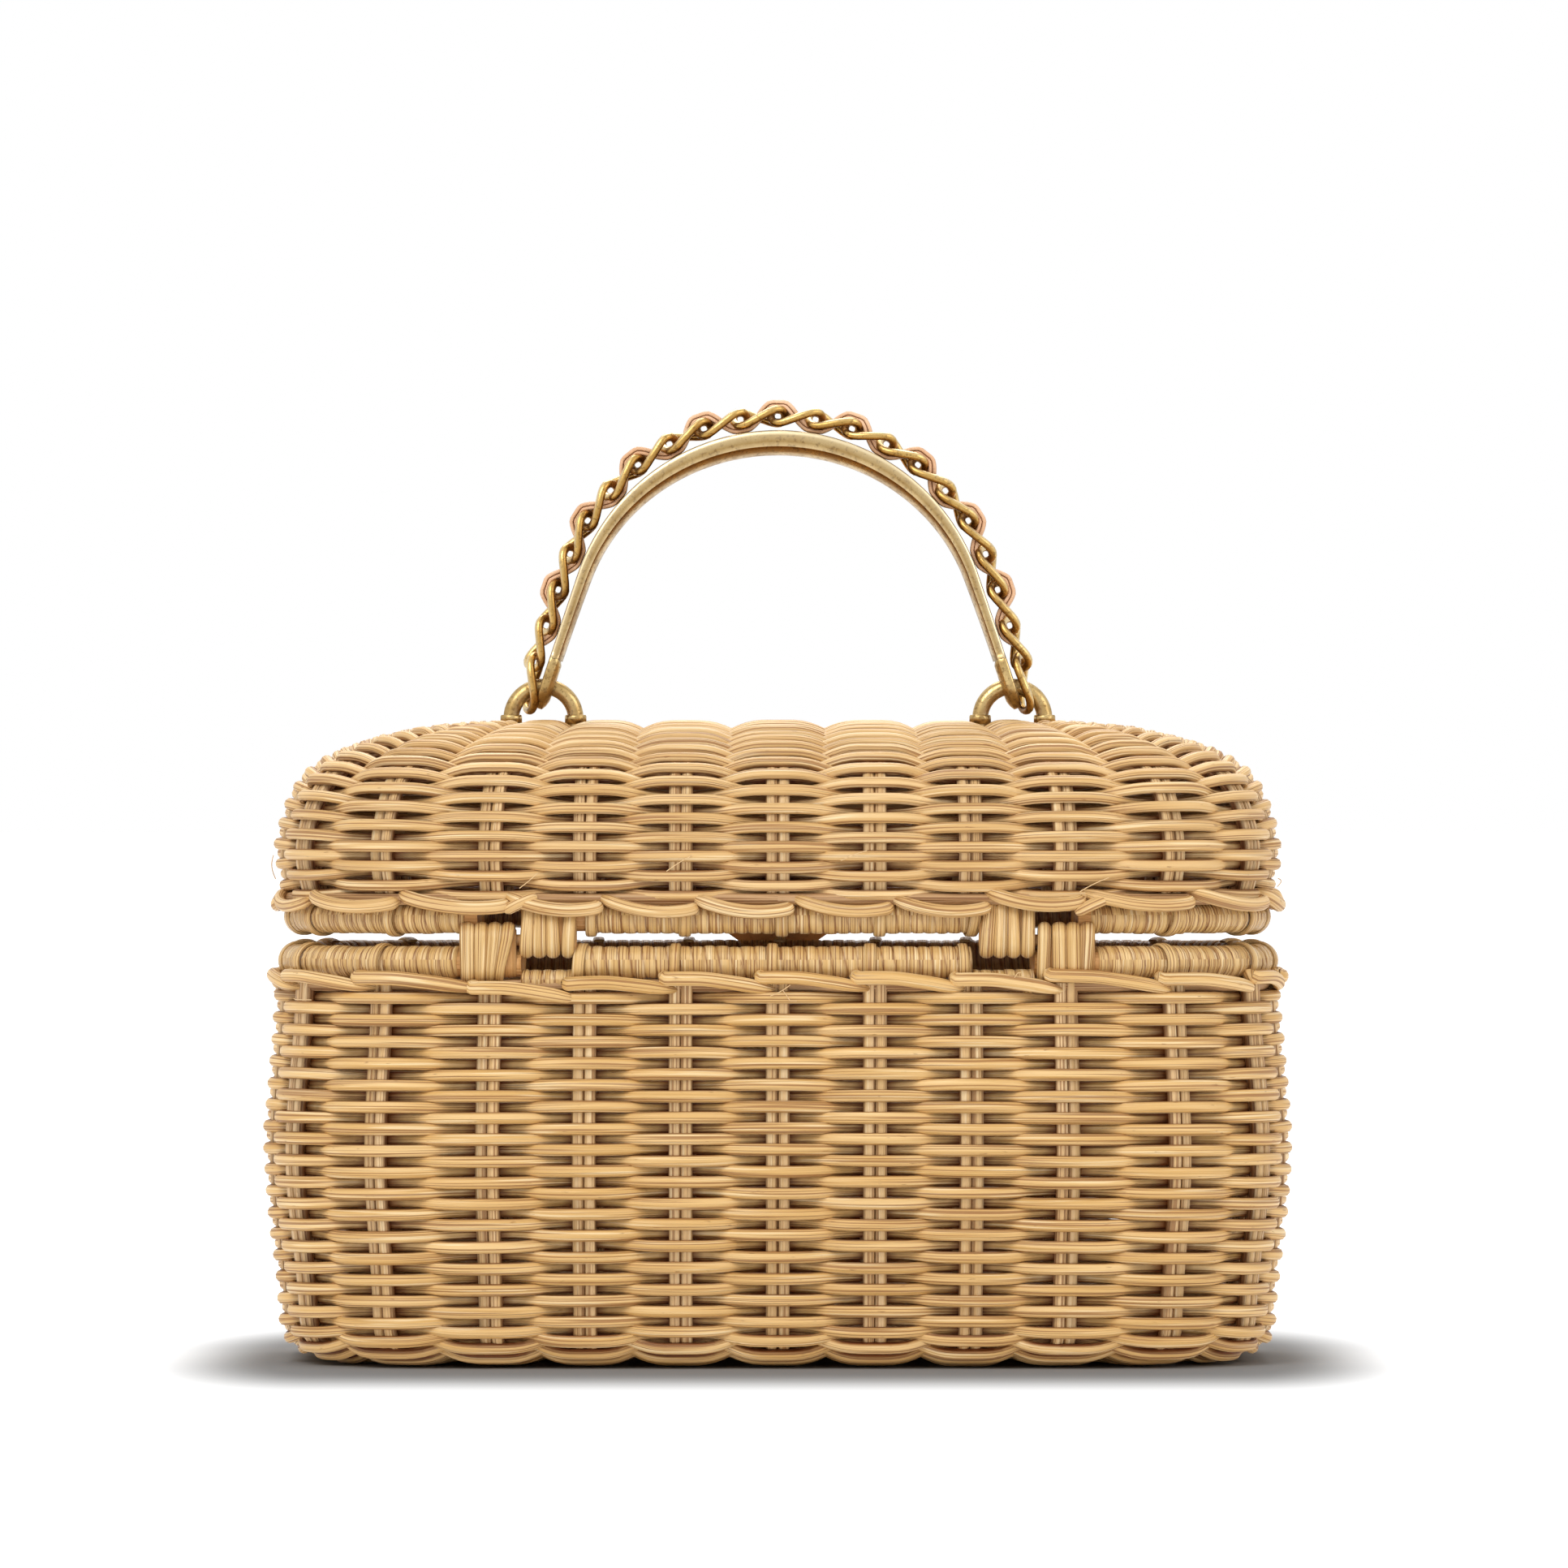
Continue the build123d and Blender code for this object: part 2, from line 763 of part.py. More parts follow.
def tab_stations():
    # Height, inner face and width of the tab from its top down
    return (
        (tab_top, tab_top_y, tab_width - 2 * tab_corner),
        (tab_top - tab_corner, tab_top_y + 0.3, tab_width),
        (rivet_height, rivet_y, tab_width),
        (tab_shoulder, rivet_y + 0.9, tab_width),
        (tab_neck, rivet_y + 1.3, tongue_width),
        (base_border_top, tab_low_y, tongue_width),
        (tab_bottom + tongue_corner, tab_low_y, tongue_width),
        (tab_bottom + tongue_corner / 3, tab_low_y, tongue_width - tongue_corner),
        (tab_bottom, tab_low_y, tongue_width - 2 * tongue_corner),
    )


def make_tab():
    rings = []
    for height, y, width in tab_stations():
        half = width / 2
        far = y + tab_thickness
        corners = ((-half, y), (half, y), (half, far), (-half, far))
        rings.append([Vector(cx, cy, height) for cx, cy in corners])
    slot = Location((0, knob_wall_y, knob_height)) * Box(slot_width, 8 * tab_thickness, slot_height)
    return skin(rings).cut(slot, *rivet_holes(half_depth, 6 * lid_thickness))


def make_rivets():
    outer = rivet_y + tab_thickness + soft_gap
    wall_inset = inset_at(lid_profile, rivet_height, 0, lid_profile.length / 3)
    inner = half_depth - wall_inset - lid_thickness - rivet_back_gap
    found = []
    for side in sides.values():
        x = side * rivet_x
        length = outer - inner + 2 * rivet_head_thickness
        rivet = rod(x, (outer + inner) / 2, rivet_height, rivet_radius, length, "Y")
        for y in (outer + rivet_head_thickness / 2, inner - rivet_head_thickness / 2):
            rivet += rod(x, y, rivet_height, rivet_head_radius, rivet_head_thickness, "Y")
        found.append(rivet)
    return Compound(children=found)


knob_wall_inset = base_inset(knob_height + knob_plate_height / 2)
knob_inside_y = half_depth - knob_wall_inset - wall_thickness - back_plate_gap
knob_face_y = tab_low_y + tab_thickness + soft_gap


def slot_plate(y, length, width, thickness, upright=False):
    # A plate with round ends, standing across Y at the knob's height
    long_way = (0, 0, 1) if upright else (1, 0, 0)
    place = Plane((0, y, knob_height), x_dir=long_way, z_dir=(0, 1, 0))
    return extrude(place * SlotOverall(length, width), thickness / 2, both=True)


def plate_blank(y):
    return slot_plate(y, knob_plate_width, knob_plate_height, knob_plate_thickness)


def make_knob_plate():
    y = knob_wall_y + knob_plate_thickness / 2
    stem_hole = rod(0, y, knob_height, knob_stem_radius + hole_fit, wall_thickness, "Y")
    return plate_blank(y) - stem_hole - pin_holes(y, wall_thickness)


def make_knob_back_plate():
    y = knob_inside_y - knob_plate_thickness / 2
    return plate_blank(y) - pin_holes(y, wall_thickness)


def make_knob_pins():
    found = []
    outer = knob_wall_y + knob_plate_thickness
    inner = knob_inside_y - knob_plate_thickness
    for side in sides.values():
        x = side * knob_pin_x
        found.append(rod(x, (outer + inner) / 2, knob_height, knob_pin_radius, outer - inner, "Y"))
    return Compound(children=found)


def make_turn_knob():
    back = knob_wall_y - knob_collar_length
    stem = rod(0, (back + knob_face_y) / 2, knob_height, knob_stem_radius, knob_face_y - back, "Y")
    collar_y = knob_wall_y - hole_fit - knob_collar_length / 2
    collar = rod(0, collar_y, knob_height, knob_collar_radius, knob_collar_length, "Y")
    head_y = knob_face_y + knob_head_thickness / 2
    head = slot_plate(head_y, knob_head_length, knob_head_height, knob_head_thickness, upright=True)
    return stem + collar + head


save(make_base_basket(), "base_basket")
save(make_base_border(), "base_border")
save(make_base_rim(), "base_rim")
save(make_lid_basket(), "lid_basket")
save(make_lid_border(), "lid_border")
save(make_lid_rim(), "lid_rim")
for name, side in sides.items():
    save(knuckle("base", side), f"base_knuckle_{name}")
    save(knuckle("lid", side), f"lid_knuckle_{name}")
    save(make_pin(side), f"hinge_pin_{name}")
    save(make_ring(side), f"ring_{name}")
    save(make_end_link(side), f"chain_end_link_{name}")
save(make_collars(), "ring_collars")
save(make_washers(), "ring_washers")
save(make_nuts(), "ring_nuts")
save(make_bar(), "handle_bar")
for number in range(link_count):
    save(make_link(number), f"chain_link_{number + 1:02d}")
save(make_lace(), "leather_lace")
save(make_tab(), "closure_tab")
save(make_rivets(), "tab_rivets")
save(make_knob_plate(), "knob_plate")
save(make_knob_back_plate(), "knob_back_plate")
save(make_knob_pins(), "knob_pins")
save(make_turn_knob(), "turn_knob")
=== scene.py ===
import math
import bpy
import numpy as np
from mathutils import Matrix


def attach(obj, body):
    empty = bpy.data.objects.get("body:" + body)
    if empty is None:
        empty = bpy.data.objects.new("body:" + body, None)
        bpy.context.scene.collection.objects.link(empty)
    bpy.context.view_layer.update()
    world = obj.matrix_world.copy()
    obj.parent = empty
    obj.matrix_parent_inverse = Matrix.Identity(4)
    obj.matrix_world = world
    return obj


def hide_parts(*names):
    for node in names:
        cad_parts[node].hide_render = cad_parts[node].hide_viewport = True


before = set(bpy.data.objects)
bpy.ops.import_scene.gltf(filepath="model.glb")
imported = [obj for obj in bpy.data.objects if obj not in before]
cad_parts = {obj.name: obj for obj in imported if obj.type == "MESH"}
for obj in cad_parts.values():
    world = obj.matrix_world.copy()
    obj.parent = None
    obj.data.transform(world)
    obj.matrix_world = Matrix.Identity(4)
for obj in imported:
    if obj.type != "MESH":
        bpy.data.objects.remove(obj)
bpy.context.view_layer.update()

mm = 0.001
print("frame loaded,", len(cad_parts), "nodes")

# The plan of the case in millimetres; a place on the wall is (distance round it, inset, height)
plan = {"width": 260.0, "depth": 130.0, "corner": 43.0, "spineReach": 104.0,
        "stakeGaps": (24.3, 24.3, 24.6, 29.5, 29.5, 22.2, 22.1)}
halfDepth = plan["depth"] / 2
spineHalf = (plan["width"] - plan["depth"]) / 2
straightLong = plan["width"] / 2 - plan["corner"]
cornerArc = plan["corner"] * math.pi / 2
quarter = straightLong + cornerArc + halfDepth - plan["corner"]
perimeter = 4 * quarter

quarterGaps = np.array(plan["stakeGaps"]) * quarter / sum(plan["stakeGaps"])
stakeGap = np.tile(np.concatenate([quarterGaps, quarterGaps[::-1]]), 2)
stakeAt = np.concatenate([[0.0], np.cumsum(stakeGap)[:-1]])
stakeCount = len(stakeGap)


def outlinePoint(distance):
    # Rounded rectangle by arc length, folded into one quarter that runs line, arc, line
    distance = np.mod(distance, perimeter)
    lap = np.minimum((distance / quarter).astype(int), 3)
    rest = distance - lap * quarter
    rest = np.where(lap % 2 == 1, quarter - rest, rest)
    turn = np.clip((rest - straightLong) / plan["corner"], 0, math.pi / 2)
    x = np.minimum(rest, straightLong) + plan["corner"] * np.sin(turn)
    y = -halfDepth + plan["corner"] * (1 - np.cos(turn)) + np.maximum(rest - straightLong - cornerArc, 0)
    return np.where(lap < 2, x, -x), np.where((lap == 0) | (lap == 3), y, -y)


def wallPoint(distance, inset, height):
    # A stake runs straight in plan from the widest outline to the crown line, and inset says how far along
    x, y = outlinePoint(distance)
    foot = spineHalf * np.sign(x) * np.sin(math.pi / 2 * np.minimum(np.abs(x) / plan["spineReach"], 1))
    share = 1 - inset / halfDepth
    return np.stack(np.broadcast_arrays(foot + (x - foot) * share, y * share, height), -1)


def placed(name, data):
    made = bpy.data.objects.new(name, data)
    bpy.context.scene.collection.objects.link(made)
    return made


def unit(vectors):
    return vectors / np.maximum(np.linalg.norm(vectors, axis=-1, keepdims=True), 1e-9)


def held(way, path):
    return np.broadcast_to(np.array(way, float), path.shape)


def smoothStep(value, low, high):
    t = np.clip((value - low) / (high - low), 0, 1)
    return t * t * (3 - 2 * t)


def turns(count, shift=0.5):
    return 2 * math.pi * (np.arange(count) + shift) / count


def alongWall(d, inset, height):
    # A path beside the wall, with the outward and upward directions square to its run
    path = wallPoint(d, inset, height)
    out = unit(wallPoint(d, inset - 1, height) - path)
    run = unit(np.gradient(path, axis=1))
    up = unit(np.cross(run, out))
    return path, unit(np.cross(up, run)), up


def levelWall(d, inset, height):
    # The same for a path at one height, where up is straight up
    path = wallPoint(d, inset, height)
    out = unit(wallPoint(d, inset - 1, height) - path)
    return path, out, held((0, 0, 1), path)


class Profile:
    # A natural cubic spline through (inset, height) points, read by its arc length
    def __init__(self, points):
        points = np.array(points, float)
        chord = np.concatenate([[0], np.cumsum(np.linalg.norm(np.diff(points, axis=0), axis=1))])
        step = np.diff(chord)
        count = len(points)
        system = np.eye(count)
        right = np.zeros((count, 2))
        inner = np.arange(1, count - 1)
        system[inner, inner - 1] = step[:-1]
        system[inner, inner] = 2 * (step[:-1] + step[1:])
        system[inner, inner + 1] = step[1:]
        slope = np.diff(points, axis=0) / step[:, None]
        right[inner] = 6 * (slope[1:] - slope[:-1])
        bend = np.linalg.solve(system, right)
        t = np.linspace(0, chord[-1], 1200)
        k = np.clip(np.searchsorted(chord, t, side="right") - 1, 0, count - 2)
        a = ((chord[k + 1] - t) / step[k])[:, None]
        b = 1 - a
        bow = ((a**3 - a) * bend[k] + (b**3 - b) * bend[k + 1]) * (step[k] ** 2 / 6)[:, None]
        self.curve = a * points[k] + b * points[k + 1] + bow
        self.length = np.concatenate([[0], np.cumsum(np.linalg.norm(np.diff(self.curve, axis=0), axis=1))])
        run = unit(np.gradient(self.curve, axis=0))
        self.outward = np.stack([-run[:, 1], run[:, 0]], -1)

    def at(self, distance):
        # Inset, height and the outward direction at a distance along the profile
        return [np.interp(distance, self.length, column) for column in (*self.curve.T, *self.outward.T)]

    def distanceAt(self, height, rising):
        # How far along a height lies, in the stretch of the curve that only rises
        return float(np.interp(height, self.curve[rising, 1], self.length[rising]))


def wallTubes(profile, s, distance, lift):
    # Points on the wall at profile distance s, lifted outward, and the same half a millimetre further out
    inset, height, outInset, outHeight = profile.at(s)
    return [wallPoint(distance, inset + outInset * reach, height + outHeight * reach)
            for reach in (lift, lift + 0.5)]


def tones(rng, count, reach=300):
    # A tone for each strand and a shift of its map, so that no two have the same grain
    return {"tint": rng.uniform(0, 1, (count, 1)), "mapShift": rng.uniform(0, reach, count)}


class MeshParts:
    # Gathers grids of points with their faces, map and marks (a tone, which on metal is a painted glint, and
    # painted shade), and makes one object of them
    def __init__(self):
        self.points, self.quads, self.quadMap, self.tris, self.triMap = [], [], [], [], []
        self.tint, self.depth = [], []
        self.count = 0

    def grid(self, points, closeLength, closeRound, along, around, tint=0.0, depth=0.0):
        # points is (tubes, stations, sides, 3), and the faces join neighbours. Of the two marks, the first is
        # a tone, which on metal is a painted glint, and the second is painted shade
        tubes, stations, sides, _ = points.shape
        total = tubes * stations * sides
        index = np.arange(total).reshape(tubes, stations, sides) + self.count
        low = index if closeLength else index[:, :-1]
        high = np.roll(index, -1, 1) if closeLength else index[:, 1:]
        if closeRound:
            corners = [low, high, np.roll(high, -1, 2), np.roll(low, -1, 2)]
        else:
            corners = [low[:, :, :-1], high[:, :, :-1], high[:, :, 1:], low[:, :, 1:]]
        along = np.broadcast_to(along, (tubes, stations + closeLength))
        around = np.broadcast_to(around, (tubes, sides + closeRound))
        u0, u1 = along[:, :-1, None], along[:, 1:, None]
        v0, v1 = around[:, None, :-1], around[:, None, 1:]
        uv = [np.stack(np.broadcast_arrays(*pair), -1) for pair in ((u0, v0), (u1, v0), (u1, v1), (u0, v1))]
        self.quads.append(np.stack(corners, -1).reshape(-1, 4))
        self.quadMap.append(np.stack(uv, -2).reshape(-1, 4, 2))
        self.points.append(points.reshape(-1, 3))
        for store, mark in ((self.tint, tint), (self.depth, depth)):
            mark = np.asarray(mark, float)
            mark = mark.reshape(mark.shape + (1,) * (3 - mark.ndim))
            store.append(np.broadcast_to(mark, (tubes, stations, sides)).reshape(-1))
        self.count += total
        if closeRound and not closeLength:
            self.capEnds(points, index, along, around)

    def capEnds(self, points, index, along, around):
        # A fan of triangles round a middle point at each end of an open tube
        tubes, sides = index.shape[0], index.shape[2]
        tone = self.tint[-1][:1].repeat(tubes)
        for ring, flip in ((0, True), (-1, False)):
            edge = index[:, ring]
            nextEdge = np.roll(edge, -1, 1)
            trio = (nextEdge, edge) if flip else (edge, nextEdge)
            middle = np.repeat((np.arange(tubes) + self.count)[:, None], sides, 1)
            self.tris.append(np.stack([middle, *trio], -1).reshape(-1, 3))
            spot = np.stack([along[:, ring], around[:, 0]], -1)
            self.triMap.append(np.repeat(np.repeat(spot, sides, 0)[:, None], 3, 1))
            self.points.append(points[:, ring].mean(1))
            self.tint.append(tone)
            self.depth.append(np.zeros(tubes))
            self.count += tubes

    def tube(self, path, out, up, outRadius, upRadius, sides, closed, tint=0.0, depth=0.0, power=1.0,
             mapShift=0.0):
        # Oval section: path + out * cos(turn) * outRadius + up * sin(turn) * upRadius, squarer as power falls
        turn = turns(sides)
        c, s = np.cos(turn), np.sin(turn)
        c, s = np.sign(c) * np.abs(c) ** power, np.sign(s) * np.abs(s) ** power
        shape = path.shape[:-1]
        a = np.broadcast_to(outRadius, shape)[..., None] * c
        b = np.broadcast_to(upRadius, shape)[..., None] * s
        points = path[..., None, :] + out[..., None, :] * a[..., None] + up[..., None, :] * b[..., None]
        ends = np.concatenate([path, path[:, :1]], 1) if closed else path
        step = np.linalg.norm(np.diff(ends, axis=1), axis=-1)
        along = np.concatenate([np.zeros((len(path), 1)), np.cumsum(step, 1)], 1)
        around = np.linspace(0, 2 * math.pi, sides + 1) * float(np.mean(upRadius))
        shift = np.asarray(mapShift, float).reshape(-1, 1)
        self.grid(points, closed, True, along + shift * 7, around[None] + shift, tint, depth)

    def build(self, name, finish, body, replaced=()):
        points = np.concatenate(self.points) * mm
        quads = np.concatenate(self.quads)
        quadMap = np.concatenate(self.quadMap)
        tris = np.concatenate(self.tris) if self.tris else np.zeros((0, 3), int)
        triMap = np.concatenate(self.triMap) if self.triMap else np.zeros((0, 3, 2))
        # The volume's sign tells which way the faces point
        a, b, c, d = (points[quads[:, i]] for i in range(4))
        volume = (np.einsum("ij,ij->i", a, np.cross(b, c)) + np.einsum("ij,ij->i", a, np.cross(c, d))).sum()
        if volume < 0:
            quads, quadMap = quads[:, ::-1], quadMap[:, ::-1]
            tris, triMap = tris[:, ::-1], triMap[:, ::-1]
        mesh = bpy.data.meshes.new(name)
        mesh.vertices.add(len(points))
        mesh.vertices.foreach_set("co", points.astype(np.float32).ravel())
        loops = np.concatenate([quads.ravel(), tris.ravel()]).astype(np.int32)
        mesh.loops.add(len(loops))
        mesh.loops.foreach_set("vertex_index", loops)
        mesh.polygons.add(len(quads) + len(tris))
        starts = np.concatenate([np.arange(len(quads)) * 4, len(quads) * 4 + np.arange(len(tris)) * 3])
        mesh.polygons.foreach_set("loop_start", starts.astype(np.int32))
        mesh.polygons.foreach_set("use_smooth", np.ones(len(starts), bool))
        uvLayer = mesh.uv_layers.new(name="fibre")
        uv = np.concatenate([quadMap.reshape(-1, 2), triMap.reshape(-1, 2)]) * mm
        uvLayer.data.foreach_set("uv", uv.astype(np.float32).ravel())
        # The marks: a tone, which on metal is a painted glint, and painted shade
        for label, store in (("toneAndGlintMark", self.tint), ("paintedShadeMark", self.depth)):
            mark = mesh.attributes.new(label, "FLOAT", "POINT")
            mark.data.foreach_set("value", np.concatenate(store).astype(np.float32))
        mesh.update()
        mesh.validate()
        mesh.materials.append(finish)
        piece = placed(name, mesh)
        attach(piece, body)
        if replaced:
            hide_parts(*replaced)
        print(name, len(quads) * 2 + len(tris), "triangles")


# Finishes
class Value:
    # A socket that can be worked with as a number
    def __init__(self, finish, socket):
        self.finish, self.socket = finish, socket

    def join(self, operation, first, second):
        return self.finish.node("Math", {"operation": operation}, {0: first, 1: second})

    def __add__(self, other):
        return self.join("ADD", self, other)

    def __radd__(self, other):
        return self.join("ADD", other, self)

    def __sub__(self, other):
        return self.join("SUBTRACT", self, other)

    def __rsub__(self, other):
        return self.join("SUBTRACT", other, self)

    def __mul__(self, other):
        return self.join("MULTIPLY", self, other)

    def __rmul__(self, other):
        return self.join("MULTIPLY", other, self)


class Finish:
    # The nodes of a material or a world, and the one way they are made
    def __init__(self, owner):
        self.owner = owner
        owner.use_nodes = True
        self.tree = owner.node_tree
        self.tree.nodes.clear()

    def node(self, kind, settings=None, inputs=None, output=0):
        made = self.tree.nodes.new("ShaderNode" + kind)
        for key, setting in (settings or {}).items():
            setattr(made, key, setting)
        for key, given in (inputs or {}).items():
            if isinstance(given, Value):
                self.tree.links.new(given.socket, made.inputs[key])
            else:
                made.inputs[key].default_value = given
        return Value(self, made.outputs[output]) if len(made.outputs) else made

    def mix(self, factor, first, second, blend="MIX"):
        first, second = (c if isinstance(c, Value) else (*c, 1.0) for c in (first, second))
        settings = {"data_type": "RGBA", "blend_type": blend}
        return self.node("Mix", settings, {0: factor, 6: first, 7: second}, output=2)

    def vector(self, operation, inputs, output=0):
        return self.node("VectorMath", {"operation": operation}, dict(enumerate(inputs)), output)

    def stretched(self, vector, scale):
        return self.vector("MULTIPLY", (vector, scale))

    def noise(self, vector, scale, detail=2.0, roughness=0.5):
        inputs = {"Vector": vector, "Scale": scale, "Detail": detail, "Roughness": roughness}
        return self.node("TexNoise", None, inputs)

    def spread(self, value, low, high, toLow=0.0, toHigh=1.0):
        settings = {"interpolation_type": "SMOOTHSTEP"}
        return self.node("MapRange", settings, {0: value, 1: low, 2: high, 3: toLow, 4: toHigh})

    def mark(self, name):
        return self.node("Attribute", {"attribute_name": name}, output=2)

    def place(self):
        return self.node("TexCoord", output=3)

    def fibre(self):
        return self.node("UVMap", {"uv_map": "fibre"})

    def close(self, constants, links, height, distance, strength):
        bump = {"Strength": strength, "Distance": distance, "Height": height}
        inputs = {**constants, **links, "Normal": self.node("Bump", None, bump)}
        shader = self.node("BsdfPrincipled", None, inputs)
        self.node("OutputMaterial", None, {"Surface": shader})
        return self.owner


# deep is the colour of the painted shade, and shine that of the painted sheen streaks
reedLook = {
    "pale": (0.80, 0.535, 0.235), "mid": (0.67, 0.40, 0.135), "line": (0.29, 0.12, 0.032),
    "shine": (0.93, 0.74, 0.44), "deep": (0.34, 0.165, 0.085), "roughness": 0.40,
    "lines": 1500.0, "lineShare": 0.8,
}
# How often the grain repeats in a metre, along the fibre and across it
reedGrain = {
    "fine": 12.0, "broad": (16.0, 620.0, 0.0), "sheenStreak": (30.0, 1100.0, 7.0), "speck": (200.0, 900.0, 0.0),
    "drift": 30.0, "bump": 0.0012, "bumpStrength": 0.8,
}


def reedFinish(name, look, grain=reedGrain):
    # Fine lines along the fibre, a slow drift of tone, thin streaks of painted sheen, and painted red-brown
    # shade where the mark says little light falls
    f = Finish(bpy.data.materials.new(name))
    uv, tint, depth = f.fibre(), f.mark("toneAndGlintMark"), f.mark("paintedShadeMark")
    fine = f.noise(f.stretched(uv, (grain["fine"], look["lines"], 0.0)), 1.0, 2.0, 0.6)
    broad = f.noise(f.stretched(uv, grain["broad"]), 1.0)
    sheenStreak = f.noise(f.stretched(uv, grain["sheenStreak"]), 1.0)
    specks = f.spread(f.noise(f.stretched(uv, grain["speck"]), 1.0, 4.0), 0.66, 0.74)
    drift = f.noise(f.place(), grain["drift"], 3.0)
    body = f.mix(f.spread(broad, 0.38, 0.62), look["pale"], look["mid"])
    body = f.mix(f.spread(drift * 0.55 + tint * 0.45, 0.35, 0.70) * 0.55, body, look["mid"])
    # Painted sheen: thin lighter streaks along the fibre
    body = f.mix(f.spread(sheenStreak, 0.55, 0.66) * 0.6, body, look["shine"])
    body = f.mix(f.spread(fine, 0.51, 0.60) * look["lineShare"], body, look["line"])
    body = f.mix(specks * 0.6, body, look["line"])
    # Painted shade: the deep colour is multiplied in as far as the mark says
    body = f.mix(depth, body, look["deep"], "MULTIPLY")
    rough = f.spread(fine, 0.3, 0.7, look["roughness"] - 0.06, look["roughness"] + 0.14)
    return f.close({"Specular IOR Level": 0.45}, {"Base Color": body, "Roughness": rough},
                   broad * 0.4 + fine * -0.6, grain["bump"], grain["bumpStrength"])


reedOwn = {
    "reedBase": {},
    "reedLid": {"pale": (0.79, 0.535, 0.25), "mid": (0.67, 0.41, 0.155)},
    "reedStake": {"pale": (0.84, 0.59, 0.31), "mid": (0.72, 0.465, 0.20), "lineShare": 0.75},
    "cane": {"pale": (0.80, 0.55, 0.25), "mid": (0.66, 0.41, 0.15), "roughness": 0.28,
             "lines": 2100.0, "lineShare": 0.85},
    "bareCore": {"pale": (0.66, 0.36, 0.13), "mid": (0.58, 0.29, 0.09), "shine": (0.70, 0.40, 0.16),
                 "lineShare": 0.25},
}
reedBase, reedLid, reedStake, cane, bareCore = (reedFinish(name, {**reedLook, **own})
                                                for name, own in reedOwn.items())

# shade and glint are the colours of the painted shade and the painted glint
brassLook = {
    "bright": (0.60, 0.43, 0.19), "worn": (0.40, 0.255, 0.09), "dark": (0.12, 0.06, 0.02),
    "shade": (0.42, 0.27, 0.12), "glint": (0.98, 0.84, 0.56), "film": 160.0, "brushed": (900.0, 160.0, 900.0),
    "spots": 1100.0, "bump": 0.0002, "grain": 0.35,
}


def brassFinish(name, look):
    # Brushed metal whose aged film is thin and speckled; the marks say where shade is painted on and where a
    # glint is painted on
    f = Finish(bpy.data.materials.new(name))
    place = f.place()
    film = f.noise(place, look["film"], 5.0, 0.65)
    brushed = f.noise(f.stretched(place, look["brushed"]), 1.0)
    spots = f.spread(f.noise(place, look["spots"], 3.0), 0.54, 0.66)
    colour = f.mix(f.spread(film, 0.35, 0.72), look["bright"], look["worn"])
    colour = f.mix(spots * 0.5, colour, look["dark"])
    # Painted shade multiplies in, then a painted glint lightens
    colour = f.mix(f.mark("paintedShadeMark"), colour, look["shade"], "MULTIPLY")
    colour = f.mix(f.mark("toneAndGlintMark"), colour, look["glint"])
    rough = f.spread(film, 0.3, 0.75, 0.24, 0.42) + spots * 0.15
    return f.close({"Metallic": 1.0}, {"Base Color": colour, "Roughness": rough},
                   brushed * 0.4 + film * 0.6, look["bump"], look["grain"])


brass = brassFinish("agedBrass", brassLook)
chainLook = {**brassLook, "bright": (0.66, 0.44, 0.15), "worn": (0.48, 0.29, 0.08), "grain": 0.2}
brassChain = brassFinish("chainBrass", chainLook)

leatherLook = {
    "face": (0.70, 0.41, 0.23), "light": (0.84, 0.55, 0.35), "edge": (0.16, 0.055, 0.022),
    "pores": 1500.0, "tone": 120.0, "lines": 0.85, "bump": 0.0003, "bumpStrength": 0.5,
}


def leatherFinish(name, look):
    # Pores and a drift of tone, with darker edges where the mark says so
    f = Finish(bpy.data.materials.new(name))
    place, edge = f.place(), f.mark("toneAndGlintMark")
    pores = f.noise(place, look["pores"], 4.0, 0.6)
    tone = f.noise(place, look["tone"], 3.0)
    colour = f.mix(f.spread(tone, 0.3, 0.7), look["face"], look["light"])
    colour = f.mix(f.spread(pores, 0.55, 0.75) * 0.35, colour, look["edge"])
    colour = f.mix(edge * look["lines"], colour, look["edge"])
    rough = f.spread(pores, 0.3, 0.7, 0.42, 0.6)
    return f.close({"Specular IOR Level": 0.4}, {"Base Color": colour, "Roughness": rough},
                   pores * 0.5 + (1 - edge) * 0.5, look["bump"], look["bumpStrength"])


lacing = leatherFinish("lacing", leatherLook)
tabLook = {**leatherLook, "face": (0.56, 0.31, 0.15), "light": (0.66, 0.39, 0.20), "lines": 0.8}
tabLeather = leatherFinish("tabLeather", tabLook)
print("finishes made")


# Woven walls: where span says, the far side's rows lie up to one row further along
weave = {
    "pitch": 2.71, "reedRadius": 1.45, "sway": 2.2, "perStake": 12, "sides": 10, "flatten": 0.92,
    "swell": 0.05, "farSwell": 0.05, "startStake": 17, "proud": 0.15, "endRoom": 0.8,
    "unevenSway": 0.10, "unevenRow": 0.11, "unevenReed": 0.03, "unevenTint": 0.15,
    "lensWidth": 1.15, "lensPower": 0.7, "flankShade": 0.85, "behindShade": 0.5, "innerShade": 0.35,
}


